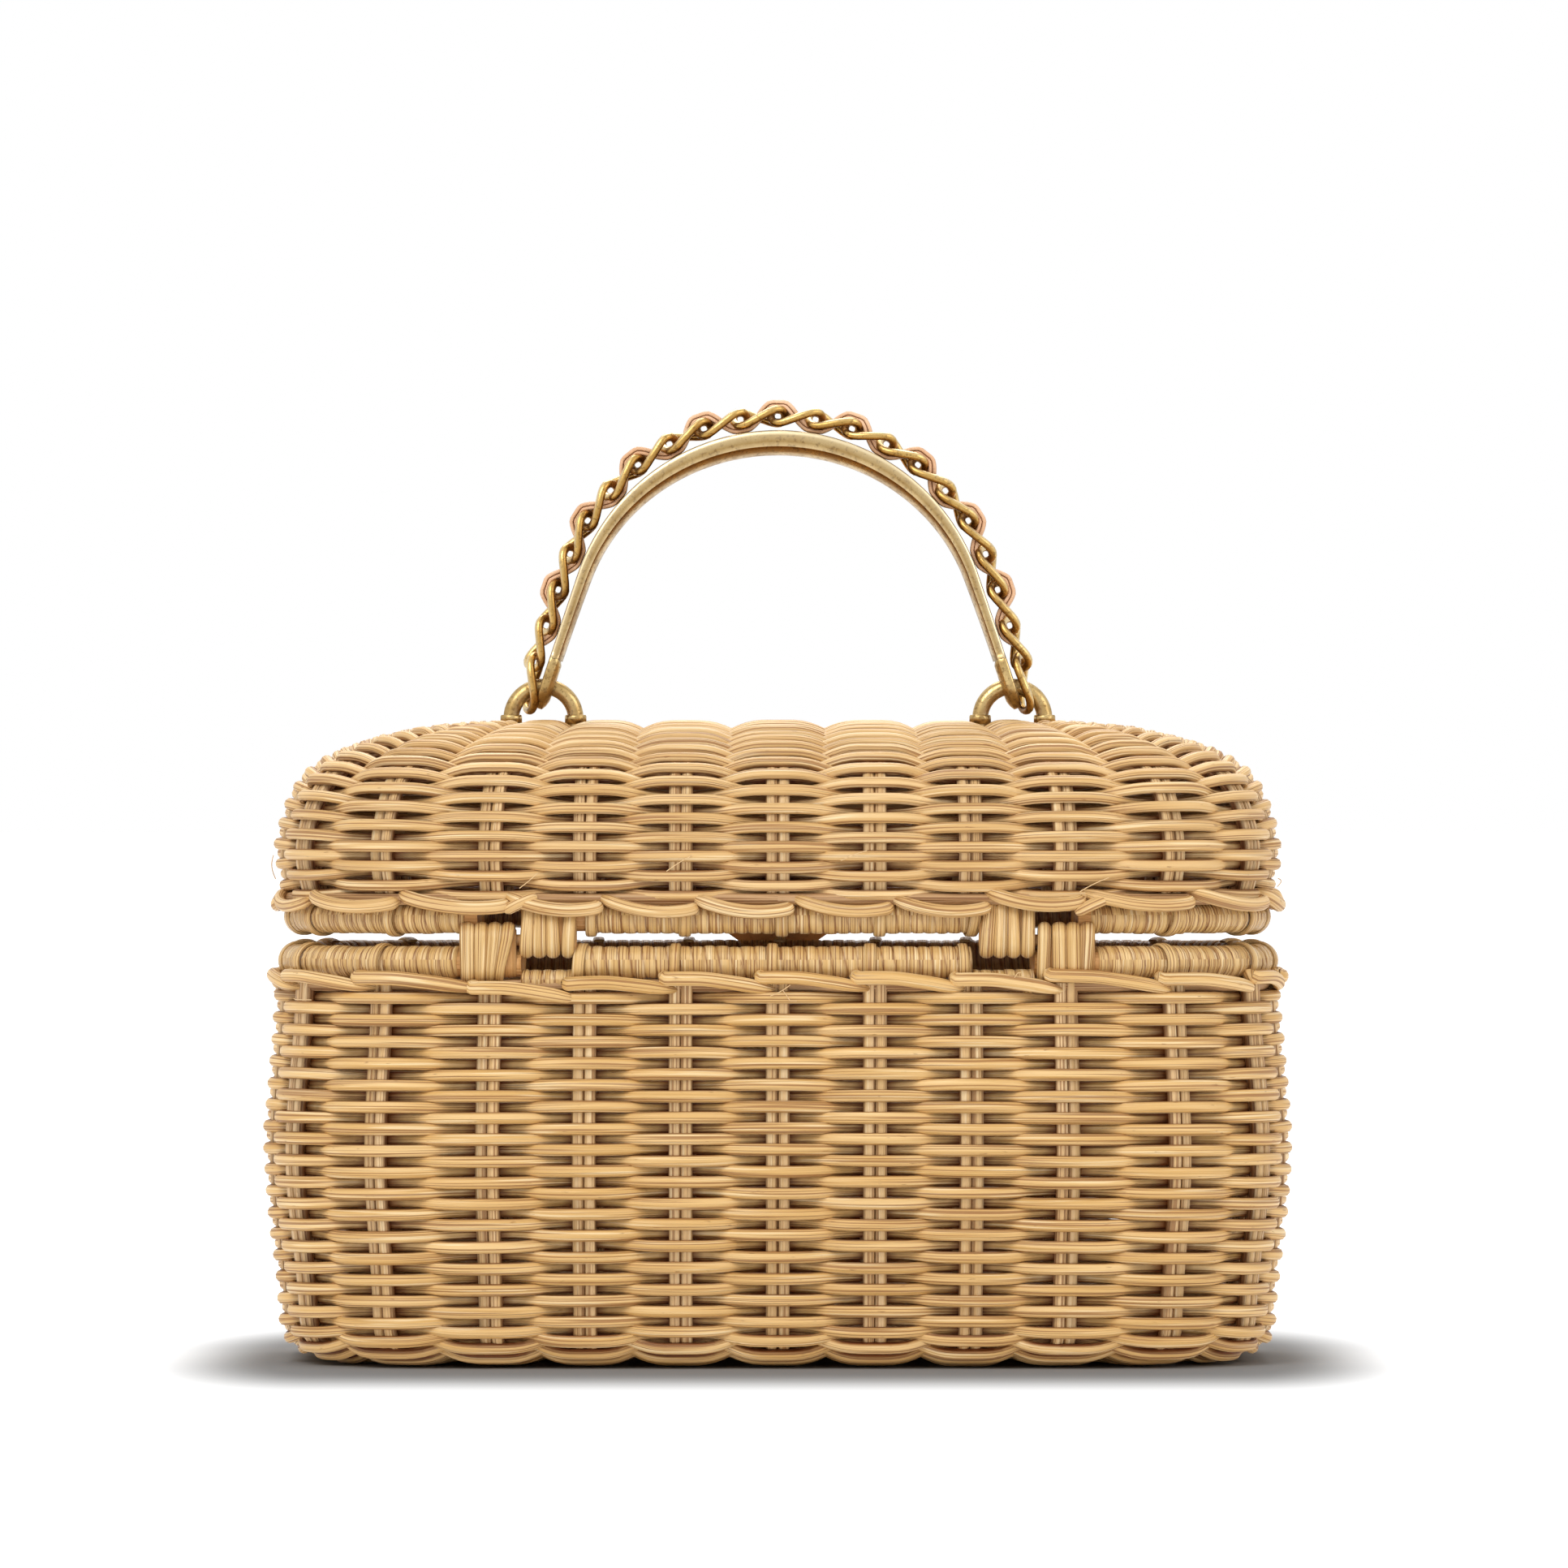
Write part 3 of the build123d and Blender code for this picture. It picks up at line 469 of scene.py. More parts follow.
def weaveRows(parts, profile, starts, firstPhase, look, seed, span):
    # Each row swings over one stake and under the next: sway * sin(pi/2 * cos(pi * share of the gap))
    rng = np.random.default_rng(seed)
    rows = len(starts)
    per = look["perStake"]
    stations = stakeCount * per

    def uneven(every, strength):
        # Random values at every so many stations, joined by half cosines; the first and last meet
        knots = stations // every
        values = rng.normal(0, strength, (rows, knots))
        values = np.concatenate([values, values[:, :1]], 1)
        t = np.arange(stations) / stations * knots
        k = t.astype(int)
        blend = (1 - np.cos(math.pi * (t - k))) / 2
        return values[:, k] * (1 - blend) + values[:, k + 1] * blend

    # Each row starts behind a stake at the case's side, so that its map's joint is hidden
    rowPhase = (np.arange(rows)[:, None] + firstPhase) % 2
    stake = (np.arange(stations)[None] // per + look["startStake"] + rowPhase) % stakeCount
    share = (np.arange(stations)[None] % per) / per
    distance = stakeAt[stake] + stakeGap[stake] * share
    swing = np.where((rowPhase + stake) % 2 == 0, 1.0, -1.0) * np.cos(math.pi * share)
    wave = np.sin(math.pi / 2 * swing)
    sway = look["sway"] + uneven(per, look["unevenSway"])
    lift = -(look["reedRadius"] + look["sway"]) + sway * wave
    lift = np.minimum(lift, -look["reedRadius"] + look["proud"])
    far = (1 - np.cos(2 * math.pi * distance / perimeter)) / 2
    starts = np.asarray(starts)[:, None]
    hump = np.clip((starts - span["from"]) / span["rise"], 0, 1)
    hump = hump * np.clip((span["to"] - starts) / span["fall"], 0, 1)
    s = starts + look["pitch"] * span["way"] * far * hump + uneven(per, look["unevenRow"])
    path, further = wallTubes(profile, s, distance, lift)
    out = unit(further - path)
    run = unit(np.roll(path, -1, 1) - np.roll(path, 1, 1))
    up = unit(np.cross(run, out))
    out = np.cross(up, run)
    thick = look["reedRadius"] * (1 + look["swell"] * wave + look["farSwell"] * far
                                  + uneven(per * 2, look["unevenReed"]))
    tint = np.repeat(rng.uniform(0, 1, (rows, 1)), stations, 1) + uneven(per, look["unevenTint"])
    # Painted shade: the lit part of a reed narrows to a point where it passes behind, and its inner side is
    # painted dark
    turn = turns(look["sides"])
    inner = np.cos(turn) < 0
    seen = swing[..., None] * np.where(inner, -1, 1)
    lens = look["lensWidth"] * (1 - np.minimum(seen, 0) ** 2) ** look["lensPower"]
    flank = smoothStep(np.abs(np.sin(turn)) - lens, -0.35, 0.25) * smoothStep(-seen, 0.0, 0.5)
    deep = (look["flankShade"] * flank + look["behindShade"] * smoothStep(-seen, 0.7, 1.0)
            + np.where(inner, look["innerShade"], 0.0))
    parts.tube(path, out, up, thick * look["flatten"], thick, look["sides"], True, tint, np.clip(deep, 0, 1),
               mapShift=rng.uniform(0, 400, rows))


def weavePieces(labels, body, finish, profile, rows, firstPhase, look, seed, span):
    # The rows are shared out over so many pieces, the last of which takes what is over
    size = len(rows) // len(labels)
    for number, label in enumerate(labels):
        first = number * size
        last = len(rows) if number == len(labels) - 1 else first + size
        parts = MeshParts()
        weaveRows(parts, profile, rows[first:last], firstPhase + first, look, seed + first, span)
        parts.build(label, finish, body, [body + "_basket"] if first == 0 else ())


stakeLook = {
    "sideRadius": 1.54, "faceRadius": 1.5, "apart": 1.5, "sides": 10, "step": 2.6, "lift": -3.6,
    "power": 0.75, "edgeShade": 0.7, "innerShade": 0.35,
}


def stakePairs(body, shape, profile, sEnd, seed, look=stakeLook):
    # Two reeds side by side up the wall at each stake, and the row and the reed that close its ends
    parts = MeshParts()
    hiddenRow(parts, **shape["hidden"])
    spineReed(parts, **shape["spine"])
    rng = np.random.default_rng(seed)
    s = np.linspace(shape["stakeFrom"], sEnd, int((sEnd - shape["stakeFrom"]) / look["step"]))[None]
    distance = stakeAt[:, None]
    path, further = wallTubes(profile, s, distance, look["lift"])
    aside = wallTubes(profile, s, distance + 0.5, look["lift"])[0]
    out = unit(further - path)
    across = np.cross(out, unit(np.gradient(path, axis=1)))
    side = unit(across * np.sign(np.einsum("ijk,ijk->ij", across, unit(aside - path)))[..., None])
    turn = turns(look["sides"])
    # Painted shade at each reed's edges and on its inner side
    deep = look["edgeShade"] * smoothStep(np.abs(np.cos(turn)), 0.8, 1.0)[None, None]
    deep = deep + look["innerShade"] * (np.sin(turn) < 0)
    for sign in (-1, 1):
        parts.tube(path + side * (sign * look["apart"]), side, out, look["sideRadius"], look["faceRadius"],
                   look["sides"], False, depth=deep, power=look["power"], **tones(rng, stakeCount, 400))
    parts.build(body + "Stakes", reedStake, body)


def hiddenRow(parts, inset, height, radius):
    # A row that runs straight round behind the border
    d = np.linspace(0, perimeter, 200, endpoint=False)[None]
    # A middle tone and half painted shade
    parts.tube(*levelWall(d, inset, height), radius, radius, 10, True, 0.5, 0.5)


def spineReed(parts, height, radius, half=64.0):
    # A straight reed along the middle, where the innermost rows of both sides meet
    x = np.linspace(-half, half, 60)[None]
    path = np.stack([x, 0 * x, 0 * x + height], -1)
    # A middle tone and a little painted shade
    parts.tube(path, held((0, 1, 0), path), held((0, 0, 1), path), radius, radius, 12, False, 0.5, 0.3)


# The base runs from the floor's middle out to the foot and up to the border
baseShape = {
    "points": ((64.2, 0.75), (50, 0.45), (34, 0.3), (24, 0.25), (19, 0.27), (12, 1.05), (6, 4.6), (3.5, 15),
               (0.0, 50), (2.5, 90), (2.8, 96.5)),
    "rising": slice(200, None), "topRow": 92.8, "stakeFrom": 2.0, "stakeTop": 97.5,
    "hidden": {"inset": 6.9, "height": 95.7, "radius": 1.6}, "spine": {"height": 3.9, "radius": 1.5},
}
baseProfile = Profile(baseShape["points"])
topRow = baseProfile.distanceAt(baseShape["topRow"], baseShape["rising"])
baseRows = topRow - np.arange(int((topRow - weave["endRoom"]) / weave["pitch"]) + 1)[::-1] * weave["pitch"]
baseSpan = {"from": 0.0, "to": topRow, "rise": 30.0, "fall": 60.0, "way": -1.0}
weavePieces(("baseWeaveFloor", "baseWeaveLower", "baseWeaveUpper"), "base", reedBase, baseProfile, baseRows,
            (len(baseRows) - 1) % 2, weave, 11, baseSpan)
stakeTop = baseProfile.distanceAt(baseShape["stakeTop"], baseShape["rising"])
stakePairs("base", baseShape, baseProfile, stakeTop, 21)

# The lid runs from the neck over the rim to the crown line
lidShape = {
    "points": ((5.4, 114.5), (4.6, 118), (3.8, 121), (2.7, 126.6), (4.5, 139), (9.7, 149), (20, 155.5),
               (33.5, 159.6), (48, 161.7), (60, 162.3), (64.4, 162.4)),
    "rising": slice(200), "firstRow": 117.6, "stakeFrom": 0.5, "stakeShort": 1.0,
    "hidden": {"inset": 6.6, "height": 117.3, "radius": 1.5}, "spine": {"height": 158.8, "radius": 1.6},
}
lidWeave = {**weave, "reedRadius": 1.38, "pitch": 2.6, "sway": 2.1}
lidProfile = Profile(lidShape["points"])
firstRow = lidProfile.distanceAt(lidShape["firstRow"], lidShape["rising"])
lidEnd = lidProfile.length[-1]
lidCount = int((lidEnd - lidWeave["endRoom"] - firstRow) / lidWeave["pitch"]) + 1
lidRows = firstRow + np.arange(lidCount) * lidWeave["pitch"]
lidSpan = {"from": lidRows[0], "to": lidRows[-1], "rise": 18.0, "fall": 22.0, "way": 1.0}
weavePieces(("lidWeaveWall", "lidWeaveDome"), "lid", reedLid, lidProfile, lidRows, 1, lidWeave, 31, lidSpan)
stakePairs("lid", lidShape, lidProfile, lidEnd - lidShape["stakeShort"], 41)
print("weave made")


# Rims: a hoop for each, with a thinner one behind the other's knuckles
rims = {
    "base": {"inset": 8.7, "height": 101.4, "radius": 4.2, "core": 3.55,
             "notch": {"inset": 8.4, "height": 96.7, "radius": 3.1}},
    "lid": {"inset": 10.2, "height": 112.55, "radius": 4.0, "core": 3.3,
            "notch": {"inset": 8.8, "height": 116.7, "radius": 2.6}},
}
hinge = {"pinY": -57.8, "pinZ": 107.1, "pinRound": 3.5, "inner": 49.8, "width": 14.6, "gap": 0.4, "room": 0.5,
         "baseBareEnd": 81.4, "lidBareStart": 48.9, "lidBareAgain": 76.8}
wrap = {"pitch": 3.15, "samples": 9, "sides": 16, "crown": 0.34, "wander": 0.05, "swell": 0.07,
        "endRound": 0.8, "overlap": 0.6, "edgeShade": 0.9, "innerShade": 0.75}
thinWrap = {**wrap, "crown": 0.6, "pitch": 2.9}
lidKnuckleX = (hinge["inner"], hinge["inner"] + hinge["width"])
baseKnuckleX = (lidKnuckleX[1] + hinge["gap"], lidKnuckleX[1] + hinge["gap"] + hinge["width"])


def wrappedHoop(parts, start, end, rim, seed, look=wrap):
    # A hoop with a strip wound round it: radius + crown * (1 - (2w - 1)^4), w = share of the turn of strip
    rng = np.random.default_rng(seed)
    wraps = max(3, round((end - start) / look["pitch"]))
    d = np.linspace(start, end, wraps * look["samples"] + 1)
    turn = turns(look["sides"])
    knots = wraps * 2 + 1
    wander = np.interp(d, np.linspace(start, end, knots), rng.normal(0, look["wander"], knots))
    place = (d - start)[:, None] / look["pitch"] + wander[:, None] + turn[None] / (2 * math.pi) + 0.02
    share = place - np.floor(place)
    number = np.floor(place).astype(int)
    tint = rng.uniform(0, 1, wraps + 6)
    swell = rng.normal(0, look["swell"], wraps + 6)
    side = np.abs(2 * share - 1)
    r = rim["radius"] - look["crown"] + look["crown"] * (1 - side ** 4) + swell[number]
    ends = np.clip(np.minimum((d - start) / look["endRound"], (end - d) / look["endRound"]), 0.0, 1)
    r = r * np.sqrt(ends * (2 - ends))[:, None] * 0.999 + 0.001
    path, out, up = levelWall(d, rim["inset"], rim["height"])
    points = (path[:, None] + out[:, None] * (np.cos(turn) * r)[..., None]
              + up[:, None] * (np.sin(turn) * r)[..., None])
    # The fibre runs with the strip, so the map's length follows the turn
    turnLength = np.linspace(0, 2 * math.pi, look["sides"] + 1) * rim["radius"]
    # Painted shade where one turn of strip meets the next, and on the hoop's inner side
    inner = smoothStep(-np.cos(turn), 0.2, 0.7)
    shade = np.clip(side ** 8 * look["edgeShade"] + look["innerShade"] * inner, 0, 1)
    parts.grid(np.swapaxes(points[None], 1, 2), True, False, turnLength[None] + 3 * seed, d[None],
               tint[number].T[None], shade.T[None])


def bothSides(near, far):
    # A stretch of the back's hinge line and its mirror
    return [(near, far), (perimeter - far, perimeter - near)]


def wrappedRim(kind, cuts, room, seed, notchLook):
    # The wrapped hoop between its cuts, and its thin stretches behind the knuckles
    rim = rims[kind]
    parts = MeshParts()
    following = cuts[1:] + [(cuts[0][0] + perimeter, 0)]
    for number, ((_, start), (end, _)) in enumerate(zip(cuts, following)):
        wrappedHoop(parts, start, end, rim, seed + number)
    for number, (start, end) in enumerate(room):
        overlap = notchLook["overlap"]
        wrappedHoop(parts, start - overlap, end + overlap, rim["notch"], seed + 10 + number, notchLook)
    parts.build(kind + "RimWrap", cane, kind, [kind + "_rim"])


def rimCore(kind, runs):
    # The hoop's own core where no strip covers it
    parts = MeshParts()
    rim = rims[kind]
    for start, end in runs:
        d = np.linspace(start, end, 14)[None]
        parts.tube(*levelWall(d, rim["inset"], rim["height"]), rim["core"], rim["core"], 18, False, 0.5, 0.0)
    parts.build(kind + "RimCore", bareCore, kind)


lidRoom = bothSides(lidKnuckleX[0] - hinge["room"], lidKnuckleX[1] + hinge["room"])
baseRoom = bothSides(baseKnuckleX[0] - hinge["room"], baseKnuckleX[1] + hinge["room"])
wrappedRim("base", bothSides(lidRoom[0][0], hinge["baseBareEnd"]), lidRoom, 50, wrap)
wrappedRim("lid", bothSides(hinge["lidBareStart"], baseRoom[0][1]), baseRoom, 70, thinWrap)
rimCore("base", bothSides(lidRoom[0][1], hinge["baseBareEnd"] + 1))
rimCore("lid", bothSides(hinge["lidBareStart"] - 1, baseRoom[0][0])
        + bothSides(hinge["lidBareAgain"], baseRoom[0][1] + 1))

# Strips that bind each stake to the hoop, but for the two stakes beside the knuckles
strip = {
    "width": 1.45, "thick": 0.45, "stations": 18, "sides": 10, "lift": 0.30, "uneven": 0.25,
    "unevenWidth": 0.08, "power": 0.7, "skip": (3, stakeCount - 3),
    "base": {"first": -80, "last": 120, "aside": -1.5, "seed": 91},
    "lid": {"first": 80, "last": -120, "aside": 1.5, "seed": 92},
}


def bindings(kind, look=strip):
    # A flat strip round the hoop's outer side at each stake: centre + (radius + lift) * (cos a, sin a)
    rim, own = rims[kind], look[kind]
    rng = np.random.default_rng(own["seed"])
    chosen = np.array([k for k in range(stakeCount) if k not in look["skip"]])
    count = len(chosen)
    a = np.radians(np.linspace(own["first"], own["last"], look["stations"]))[None]
    lift = rim["radius"] + look["lift"]
    d = stakeAt[chosen][:, None] + own["aside"] + rng.normal(0, look["uneven"], count)[:, None]
    d = d + rng.normal(0, look["uneven"], count)[:, None] * a
    path, more = (wallPoint(d, rim["inset"] - reach * np.cos(a), rim["height"] + reach * np.sin(a))
                  for reach in (lift, lift + 1))
    out = unit(more - path)
    side = unit(np.cross(unit(np.gradient(path, axis=1)), out))
    wide = look["width"] * (1 + rng.normal(0, look["unevenWidth"], count))[:, None]
    parts = MeshParts()
    parts.tube(path, out, side, look["thick"], wide, look["sides"], False, power=look["power"],
               **tones(rng, count))
    parts.build(kind + "Bindings", cane, kind)


bindings("base")
bindings("lid")

# Borders: a strand for each stake through its keys (share of the gap, extra inset, height)
borders = {
    "base": {
        "radius": 1.76, "inset": 2.8, "taper": (0.10, 0.30), "sag": 0.0, "seed": 101,
        "keys": ((-0.14, 3.6, 98.6), (-0.17, 0.6, 97.6), (-0.02, -0.2, 97.6), (0.22, -0.2, 97.5),
                 (0.45, 0.0, 96.8), (0.66, 0.3, 96.0), (0.84, 1.0, 95.2), (0.98, 3.4, 94.6)),
        "drops": {25: (-2.3, -2.6), 26: (-1.6, 0.0), 3: (1.2, 0.0)},
    },
    "lid": {
        "radius": 1.72, "inset": 3.4, "taper": (0.18, 0.12), "sag": 1.3, "seed": 102,
        "keys": ((0.16, 3.4, 118.9), (0.27, 1.0, 117.9), (0.42, 0.1, 116.8), (0.60, -0.1, 115.9),
                 (0.80, -0.1, 115.5), (0.98, 0.0, 115.7), (1.11, 0.6, 116.2), (1.16, 3.2, 116.9)),
        "drops": {2: (0.8, 0.6)},
    },
    "thin": 0.92, "stations": 30, "sides": 12, "sagHalf": 85, "unevenPlace": 0.25, "unevenHeight": 0.15,
    "unevenReed": 0.04,
}


def borderStrands(kind, finish, look=borders):
    # A smooth curve by Hermite's weights through the keys; the lid's hangs lowest in the long sides' middle
    own = look[kind]
    rng = np.random.default_rng(own["seed"])
    keys = np.array(own["keys"], float)
    t = np.linspace(0, 1, len(keys))
    fine = np.linspace(0, 1, look["stations"])
    slope = np.gradient(keys, t, axis=0)
    k = np.clip(np.searchsorted(t, fine, side="right") - 1, 0, len(keys) - 2)
    h = t[1]
    u = ((fine - t[k]) / h)[:, None]
    curve = ((2 * u**3 - 3 * u**2 + 1) * keys[k] + (u**3 - 2 * u**2 + u) * h * slope[k]
             + (-2 * u**3 + 3 * u**2) * keys[k + 1] + (u**3 - u**2) * h * slope[k + 1])
    d = stakeAt[:, None] + stakeGap[:, None] * curve[None, :, 0]
    d = d + rng.normal(0, look["unevenPlace"], stakeCount)[:, None]
    height = curve[None, :, 2] + rng.normal(0, look["unevenHeight"], stakeCount)[:, None]
    height = height - own["sag"] * np.clip(1 - (outlinePoint(d)[0] / look["sagHalf"]) ** 2, 0, 1)
    for stake, (atStart, atEnd) in own["drops"].items():
        height[stake] += atStart + (atEnd - atStart) * fine
    path, out, up = alongWall(d, own["inset"] + curve[None, :, 1], height)
    first, last = own["taper"]
    taper = np.minimum(smoothStep(fine, -first, first), smoothStep(1 - fine, -last * 0.6, last))
    thick = own["radius"] * taper[None] * (1 + rng.normal(0, look["unevenReed"], stakeCount))[:, None]
    parts = MeshParts()
    parts.tube(path, out, up, thick * look["thin"], thick, look["sides"], False, **tones(rng, stakeCount))
    parts.build(kind + "BorderStrands", finish, kind, [kind + "_border"])


borderStrands("base", reedBase)
borderStrands("lid", reedLid)

# Slanted reed ends at the lid's notches: from, to, lower and upper height, inset, radius
reedEnds = {"runs": ((perimeter - 68.8, perimeter - 60.6, 114.3, 118.0, 3.9, 1.5),
                     (75.2, 83.6, 113.9, 117.6, 3.9, 1.5)),
            "bow": 0.25, "bulge": 0.5, "stations": 10, "sides": 12, "seed": 131}


def shortReeds(parts, look):
    # Each is a slightly bowed line from one place on the wall to another
    rng = np.random.default_rng(look["seed"])
    runs = np.array(look["runs"], float)
    t = np.linspace(0, 1, look["stations"])[None]
    start, end, low, high, inset, radius = (runs[:, k:k + 1] for k in range(6))
    bow = np.sin(math.pi * t)
    frameThere = alongWall(start + (end - start) * t, inset - look["bulge"] * bow,
                           low + (high - low) * t + look["bow"] * bow)
    thick = radius * np.sqrt(1 - 0.75 * np.abs(2 * t - 1) ** 8)
    parts.tube(*frameThere, thick, thick, look["sides"], False, **tones(rng, len(runs)))


parts = MeshParts()
shortReeds(parts, reedEnds)
parts.build("lidReedEnds", reedLid, "lid")

fibres = {
    "radius": 0.13, "stations": 9, "sides": 5, "length": (4.0, 10.0), "slope": 0.9, "bend": 1.5,
    "bulge": (0.3, 1.1),
    "base": {"heights": (92.0, 99.0), "inset": 2.4, "count": 14, "seed": 141},
    "lid": {"heights": (118.0, 130.0), "inset": 2.7, "count": 10, "seed": 142},
}


def strayFibres(kind, look=fibres):
    # Fine hairs split off the reeds: each leaves the wall, bows outward and comes back towards it
    own = look[kind]
    rng = np.random.default_rng(own["seed"])

    def each(low, high):
        return rng.uniform(low, high, (own["count"], 1))

    t = np.linspace(0, 1, look["stations"])[None]
    start, length, slope = each(0, perimeter), each(*look["length"]), each(-look["slope"], look["slope"])
    height = each(*own["heights"]) + length * np.sin(slope) * t + each(-look["bend"], look["bend"]) * t**2
    deep = own["inset"] - each(*look["bulge"]) * np.sin(math.pi * t * 0.9)
    frameThere = alongWall(start + length * t * np.cos(slope), deep, np.clip(height, *own["heights"]))
    parts = MeshParts()
    parts.tube(*frameThere, look["radius"], look["radius"], look["sides"], False, 0.1, 0.0)
    parts.build(kind + "Fibres", reedStake, kind)


strayFibres("base")
strayFibres("lid")
print("rims and borders made")


# Hinge knuckles. A strand is its middle at the top and the foot from the inner side, then half its widths
knuckle = {
    "stations": 44, "sides": 18, "thick": 1.55, "fullness": 1.06, "grow": -0.45, "edgeShade": 0.6,
    "coreGrow": -1.15, "coreThick": 0.5, "coreShort": 0.25, "coreSides": 12,
    ("base", -1): ((2.3, 4.9, 1.75, 1.2), (5.7, 6.9, 1.85, 1.3), (9.1, 9.4, 1.85, 1.6),
                   (12.6, 12.5, 1.9, 1.7)),
    ("base", 1): ((1.7, 1.3, 1.6, 1.5), (5.3, 5.5, 1.85, 1.75), (8.8, 9.0, 1.8, 1.85),
                  (12.4, 11.8, 1.9, 1.3)),
    ("lid", -1): ((1.8, 2.5, 1.6, 1.65), (6.7, 6.2, 1.6, 1.8), (9.6, 9.6, 1.6, 1.8), (12.2, 12.9, 1.5, 1.7)),
    ("lid", 1): ((3.3, 2.2, 1.5, 1.8), (6.1, 5.6, 1.5, 1.8), (8.8, 9.0, 1.5, 1.75), (12.8, 12.5, 1.5, 1.7)),
}


def hingeLoop(kind, grow, turn):
    # Round the hoop and the pin: in each direction the further of the two circles' edge points
    rim = rims[kind]
    centres = np.array([[rim["inset"] - halfDepth, rim["height"]], [hinge["pinY"], hinge["pinZ"]]])
    radii = np.array([rim["radius"] + 0.35, hinge["pinRound"]]) + grow
    way = np.stack([np.cos(turn), np.sin(turn)], -1)
    pick = (way @ centres.T + radii).argmax(1)
    return centres[pick] + way * radii[pick][:, None], way


def loopFrame(x, loop, way):
    # The loop's path at the places x across the knuckle, with its outward and sideways directions
    path = np.stack(np.broadcast_arrays(x, loop[None, :, 0], loop[None, :, 1]), -1)
    return path, held(np.stack([0 * way[:, 0], way[:, 0], way[:, 1]], -1)[None], path), held((1, 0, 0), path)


def knuckleStrands(kind, side, label, seed, look=knuckle):
    rng = np.random.default_rng(seed)
    start = (lidKnuckleX if kind == "lid" else baseKnuckleX)[0]
    turn = turns(look["stations"], 0)
    loop, way = hingeLoop(kind, look["grow"], turn)
    top, foot = loop[:, 1].max(), loop[:, 1].min()
    fall = smoothStep((top - loop[:, 1]) / (top - foot), -0.15, 1.15)[None]
    strands = np.array(look[(kind, side)])
    x = side * (start + strands[:, :1] + (strands[:, 1:2] - strands[:, :1]) * fall)
    wide = (strands[:, 2:3] + (strands[:, 3:4] - strands[:, 2:3]) * fall) * look["fullness"]
    # Painted shade along each strand's edges
    edge = look["edgeShade"] * smoothStep(np.abs(np.sin(turns(look["sides"]))), 0.9, 1.0)[None, None]
    name = kind + "Knuckle" + label.capitalize()
    parts = MeshParts()
    parts.tube(*loopFrame(x, loop, way), look["thick"], wide, look["sides"], True, depth=edge,
               **tones(rng, len(strands)))
    parts.build(name, cane, kind, [f"{kind}_knuckle_{label}"])
    # The core under the strands shows between them
    parts = MeshParts()
    middle = side * (start + hinge["width"] / 2)
    parts.tube(*loopFrame(middle, *hingeLoop(kind, look["coreGrow"], turn)), look["coreThick"],
               hinge["width"] / 2 - look["coreShort"], look["coreSides"], True, 0.5, 0.0, power=0.5)
    parts.build(name + "Core", bareCore, kind)


for side, label in ((-1, "left"), (1, "right")):
    knuckleStrands("base", side, label, 110 + side)
    knuckleStrands("lid", side, label, 120 + side)
print("hinges made")


# Handle. The bar's section: flat side out, steep sides, and past a sharp edge a round inner side; each
# point has its place across, how deep it lies, how much painted shade it takes and how much painted glint
bar = {
    "flatRadius": 53.75, "centreZ": 182.2, "angle": 71.5, "width": 12.0, "top": 6.3, "end": 3.4,
    "pivotZ": 170.8, "stations": 97, "plateTop": 8.0, "plateOverlap": 0.8, "eyeRadius": 6.0,
    "eyeHole": 3.2, "eyeStations": 64,
    "section": ((0.0, 0.0, 0.2, 0), (0.45, 0.0, 0.1, 0), (0.86, 0.0, 0.0, 0.3), (0.95, 0.03, 0.0, 0.7),
                (0.99, 0.10, 0.0, 0.75), (1.0, 0.20, 0.15, 0.25), (1.0, 0.45, 0.3, 0),
                (0.985, 0.64, 0.35, 0.25), (0.975, 0.66, 1.0, 0), (0.94, 0.70, 0.9, 0),
                (0.80, 0.82, 0.5, 0.1), (0.60, 0.92, 0.4, 0.15), (0.35, 0.98, 0.4, 0), (0.0, 1.0, 0.5, 0)),
    # The eye's plate in section: reach past its edge or its hole, level, and 1 at the edge
    "plate": ((0.0, -1.3, 0), (0.35, -1.7, 0), (-2.3, -1.65, 1), (-1.1, -1.2, 1), (-0.2, -0.6, 1),
              (0.0, -0.45, 1), (0.0, 1.1, 1), (-0.1, 1.45, 1), (-0.5, 1.7, 1), (0.35, 1.7, 0), (0.0, 1.3, 0)),
}
legTurn = math.radians(bar["angle"])
sideways = np.array([0, 1.0, 0])


def handleLine(distance, radius):
    # An arc through the top with straight legs that leave it at its ends
    angle = np.clip(distance / radius, -legTurn, legTurn)
    past = distance - np.clip(distance, -radius * legTurn, radius * legTurn)
    zero = np.zeros_like(angle)
    out = np.stack([np.sin(angle), zero, np.cos(angle)], -1)
    run = np.stack([np.cos(angle), zero, -np.sin(angle)], -1)
    return np.array([0, 0, bar["centreZ"]]) + out * radius + run * past[..., None], run, out


def handleReach(radius, height):
    return radius * legTurn + (bar["centreZ"] + radius * math.cos(legTurn) - height) / math.sin(legTurn)


# The eye turns about its middle, which lies half the plate in from the flat side
barReach = handleReach(bar["flatRadius"], bar["pivotZ"] + bar["end"] / 2 * math.cos(legTurn))
share = np.linspace(-1, 1, bar["stations"])
origin, run, out = handleLine(share * (barReach - bar["plateTop"] + bar["plateOverlap"]), bar["flatRadius"])
thick = bar["top"] + (bar["end"] - bar["top"]) * (1 - np.cos(math.pi * np.abs(share))) / 2
section = np.array(bar["section"], float)
section = np.concatenate([section, section[-2:0:-1] * [-1, 1, 1, 1]])
points = (origin[:, None] - out[:, None] * (thick[:, None] * section[:, 1])[..., None]
          + sideways * (bar["width"] / 2 * section[:, 0])[None, :, None])
parts = MeshParts()
parts.grid(points[None], False, True, np.linspace(0, 2 * barReach, bar["stations"]),
           np.linspace(0, 30, len(section) + 1), section[None, None, :, 3], section[None, None, :, 2])
